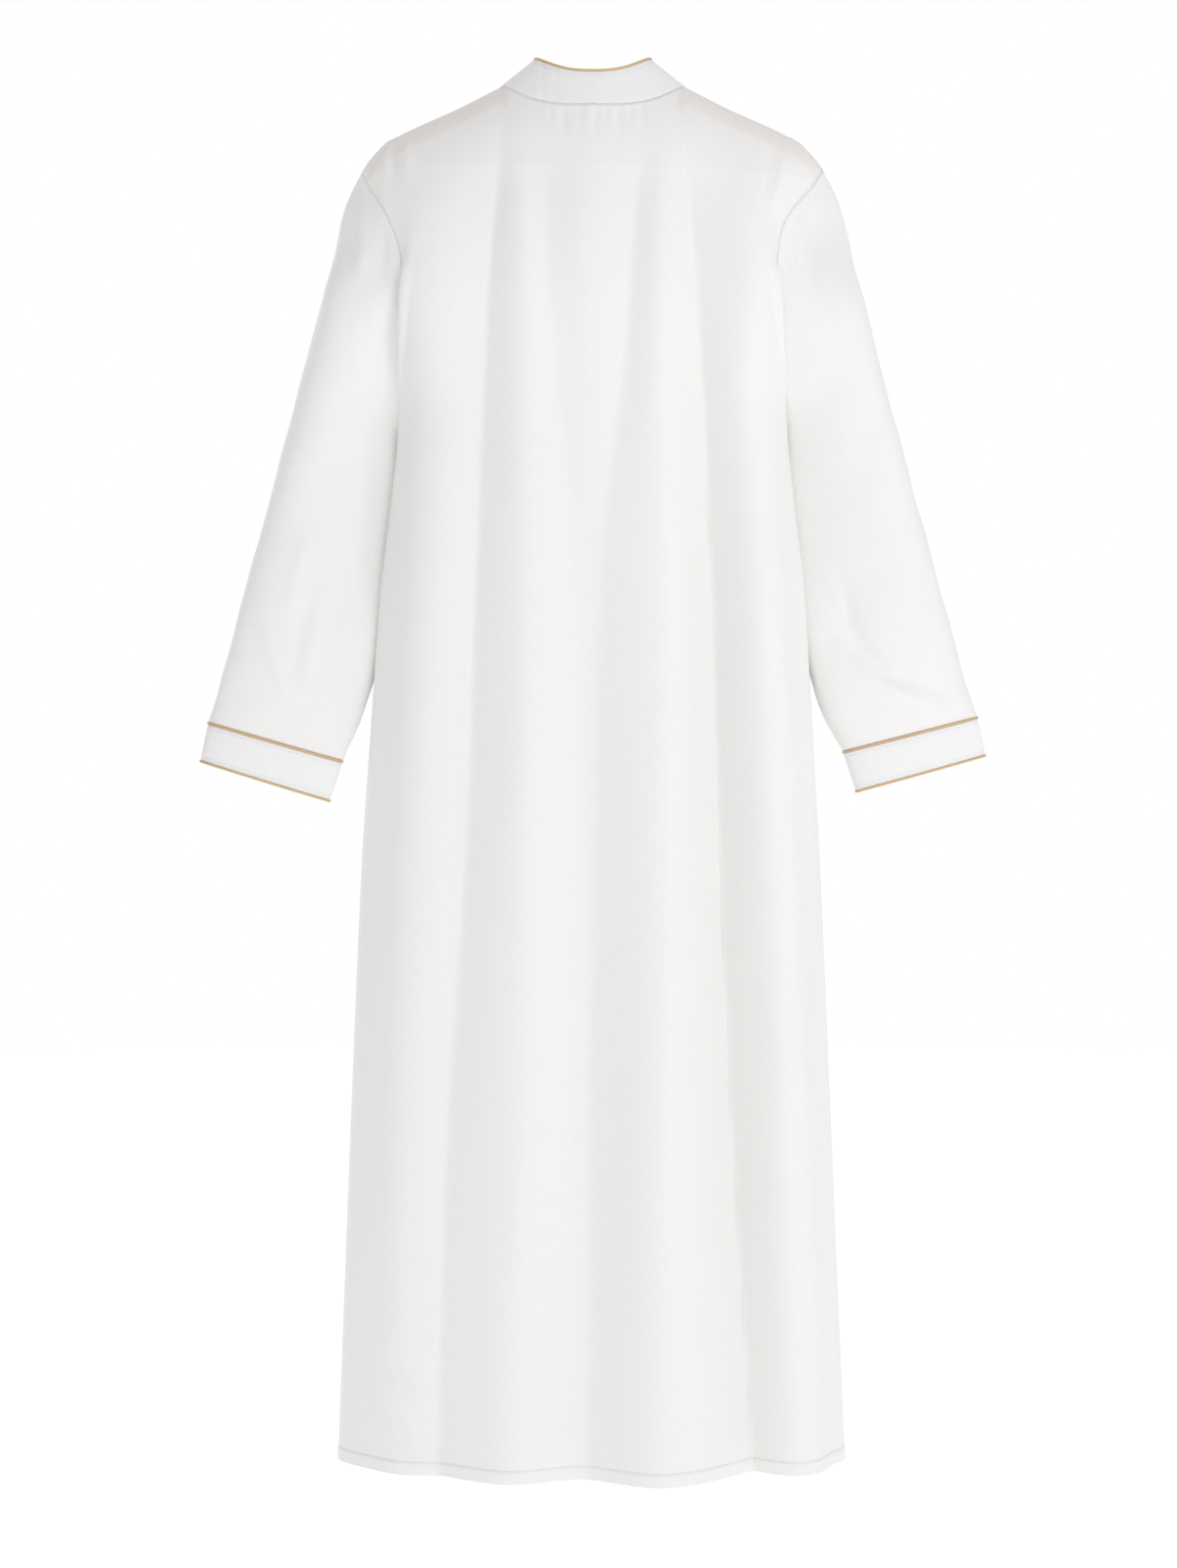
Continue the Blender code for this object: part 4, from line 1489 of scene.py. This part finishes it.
LEFT_BACK_CREASES = (
    Crease(
        ((0.2101, -0.222), (0.2132, -0.328), (0.2234, -0.439), (0.2336, -0.532), (0.2377, -0.580)),
        0.0085, 0.0130, fade=(0.15, 0.25),
    ),
    Crease(((0.2380, -0.105), (0.2400, -0.230)), -0.0040, 0.0100),
    Crease(((0.2140, -0.100), (0.2170, -0.225)), 0.0035, 0.0060),
    Crease(((0.270, -0.500), (0.290, -0.580), (0.3056, -0.655)), -0.0022, 0.0090, fade=(0.4, 0.2)),
    Crease(((0.3500, -0.545), (0.3300, -0.610), (0.3107, -0.655)), -0.0030, 0.0080, fade=(0.4, 0.2)),
    Crease(((0.2944, -0.465), (0.3209, -0.570)), -0.0025, 0.0090),
    Crease(((0.2890, -0.520), (0.3080, -0.590), (0.3120, -0.640)), 0.0018, 0.0080),
)
RIGHT_BACK_CREASES = (
    Crease(
        ((-0.2505, -0.4886), (-0.2689, -0.570), (-0.3066, -0.6213), (-0.3883, -0.6437)),
        0.0050, 0.0100, fade=(0.3, 0.3),
    ),
    Crease(((-0.2689, -0.5907), (-0.2913, -0.6213), (-0.3628, -0.657)), -0.0040, 0.0070),
    Crease(((-0.2321, -0.570), (-0.2811, -0.611)), 0.0030, 0.0060),
    Crease(((-0.2352, -0.529), (-0.3015, -0.6315)), 0.0030, 0.0070),
    Crease(((-0.2100, -0.105), (-0.2120, -0.225)), -0.0030, 0.0060),
    Crease(((-0.2280, -0.115), (-0.2290, -0.230)), 0.0035, 0.0080),
)
LEFT_FRONT_CREASES = (
    Crease(((0.235, -0.330), (0.275, -0.350), (0.310, -0.345)), 0.0035, 0.0100),
    Crease(((0.240, -0.520), (0.300, -0.570), (0.350, -0.560)), 0.0040, 0.0100),
    Crease(((0.255, -0.590), (0.300, -0.630), (0.350, -0.640)), 0.0035, 0.0080),
)
RIGHT_FRONT_CREASES = (
    Crease(((-0.235, -0.320), (-0.270, -0.345), (-0.305, -0.345)), 0.0035, 0.0100),
    Crease(((-0.240, -0.500), (-0.295, -0.555), (-0.350, -0.550)), 0.0040, 0.0100),
    Crease(((-0.255, -0.580), (-0.300, -0.625), (-0.355, -0.630)), 0.0035, 0.0080),
)


# ---- The studio ----
@dataclass
class Studio:
    """A plain pale floor, soft light and the camera behind the robe."""

    camera_place: Triple = (0.0045, 3.2, -0.733)
    lens_mm: float = 93.0
    sensor_mm: float = 36.0
    floor_below_hem: float = 0.17
    floor_radius: float = 7.0
    air: float = 0.590  # the even light from the camera's side
    backdrop_air: float = 0.72  # and from the white wall beyond the robe
    air_colour: str = "#FFFEFD"
    key_watts: float = 30.0
    key_place: Triple = (-1.60, 2.7, 0.80)
    key_size: Pair = (1.2, 1.8)
    fill_watts: float = 18.0
    fill_place: Triple = (1.9, -2.4, 0.5)
    aim: Triple = (0.0, 0.0, -0.70)

    def add_floor(self) -> None:
        """Lays a round floor under the robe."""
        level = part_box("back")[0].z - self.floor_below_hem
        angles = np.linspace(0, 2 * math.pi, 96, endpoint=False)
        rings = [0.02, 1.0, 2.5, 4.5, self.floor_radius]
        grid = np.array([[(r * math.cos(a), r * math.sin(a), level) for a in angles] for r in rings])
        mesh = grid_mesh("floor", grid, True, {})
        mesh.materials.append(StudioWhite().make())
        floor = bpy.data.objects.new("floor", mesh)
        bpy.context.scene.collection.objects.link(floor)

    def add_light(self, name: str, place: Triple, watts: float) -> None:
        """Adds a soft box that looks at the robe.

        Args:
            name: the light's name.
            place: where it stands.
            watts: its power.
        """
        data = bpy.data.lights.new(name, "AREA")
        data.shape = "RECTANGLE"
        data.size, data.size_y = self.key_size
        data.energy = watts
        light = bpy.data.objects.new(name, data)
        light.location = place
        away = light.location - type(light.location)(self.aim)
        light.rotation_euler = away.to_track_quat("Z", "Y").to_euler()
        bpy.context.scene.collection.objects.link(light)

    def add_air(self) -> None:
        """Sets the even light, which looks white behind the robe."""
        world = bpy.data.worlds.new("studio")
        world.use_nodes = True
        tree = world.node_tree
        tree.nodes.clear()
        direction = add_node(tree, "ShaderNodeTexCoord").outputs["Generated"]
        split = add_node(tree, "ShaderNodeSeparateXYZ", {0: direction})
        limits = {"From Min": -0.6, "From Max": 0.6, "To Min": self.backdrop_air, "To Max": self.air}
        strength = add_node(tree, "ShaderNodeMapRange", {"Value": split.outputs["Y"], **limits}).outputs[0]
        light = {"Color": linear(self.air_colour), "Strength": strength}
        lighting = add_node(tree, "ShaderNodeBackground", light)
        seen = add_node(tree, "ShaderNodeBackground", {"Color": linear("#FFFFFF"), "Strength": 1.0})
        ray = add_node(tree, "ShaderNodeLightPath").outputs["Is Camera Ray"]
        shares = {0: ray, 1: lighting.outputs[0], 2: seen.outputs[0]}
        both = add_node(tree, "ShaderNodeMixShader", shares)
        add_node(tree, "ShaderNodeOutputWorld", {"Surface": both.outputs[0]})
        bpy.context.scene.world = world

    def add_camera(self) -> None:
        """Stands the camera behind the robe, looking level at it."""
        data = bpy.data.cameras.new("camera")
        data.sensor_fit = "HORIZONTAL"
        data.sensor_width = self.sensor_mm
        data.lens = self.lens_mm
        camera = bpy.data.objects.new("camera", data)
        camera.location = self.camera_place
        camera.rotation_euler = (math.pi / 2, 0.0, math.pi)
        bpy.context.scene.collection.objects.link(camera)
        bpy.context.scene.camera = camera

    def build(self) -> None:
        """Sets everything up, with colours shown as they are."""
        self.add_floor()
        self.add_light("key_soft_box", self.key_place, self.key_watts)
        self.add_light("fill_soft_box", self.fill_place, self.fill_watts)
        self.add_air()
        self.add_camera()
        bpy.context.scene.view_settings.view_transform = "Standard"


def main() -> None:
    """Builds the robe and its studio."""
    logging.basicConfig(level=logging.INFO, format="%(name)s: %(message)s")
    form = BodyForm()
    finishes = Finishes()
    Studio().build()
    Panels(form, finishes).build()
    Sleeve(
        form, finishes, Side.LEFT, back_creases=LEFT_BACK_CREASES, front_creases=LEFT_FRONT_CREASES
    ).build()
    Sleeve(
        form,
        finishes,
        Side.RIGHT,
        cuff_lift=(0.0058, 0.0100),
        back_creases=RIGHT_BACK_CREASES,
        front_creases=RIGHT_FRONT_CREASES,
    ).build()
    StandCollar(form, finishes).build()
    Placket(form, finishes).build()


if __name__ == "__main__":
    main()
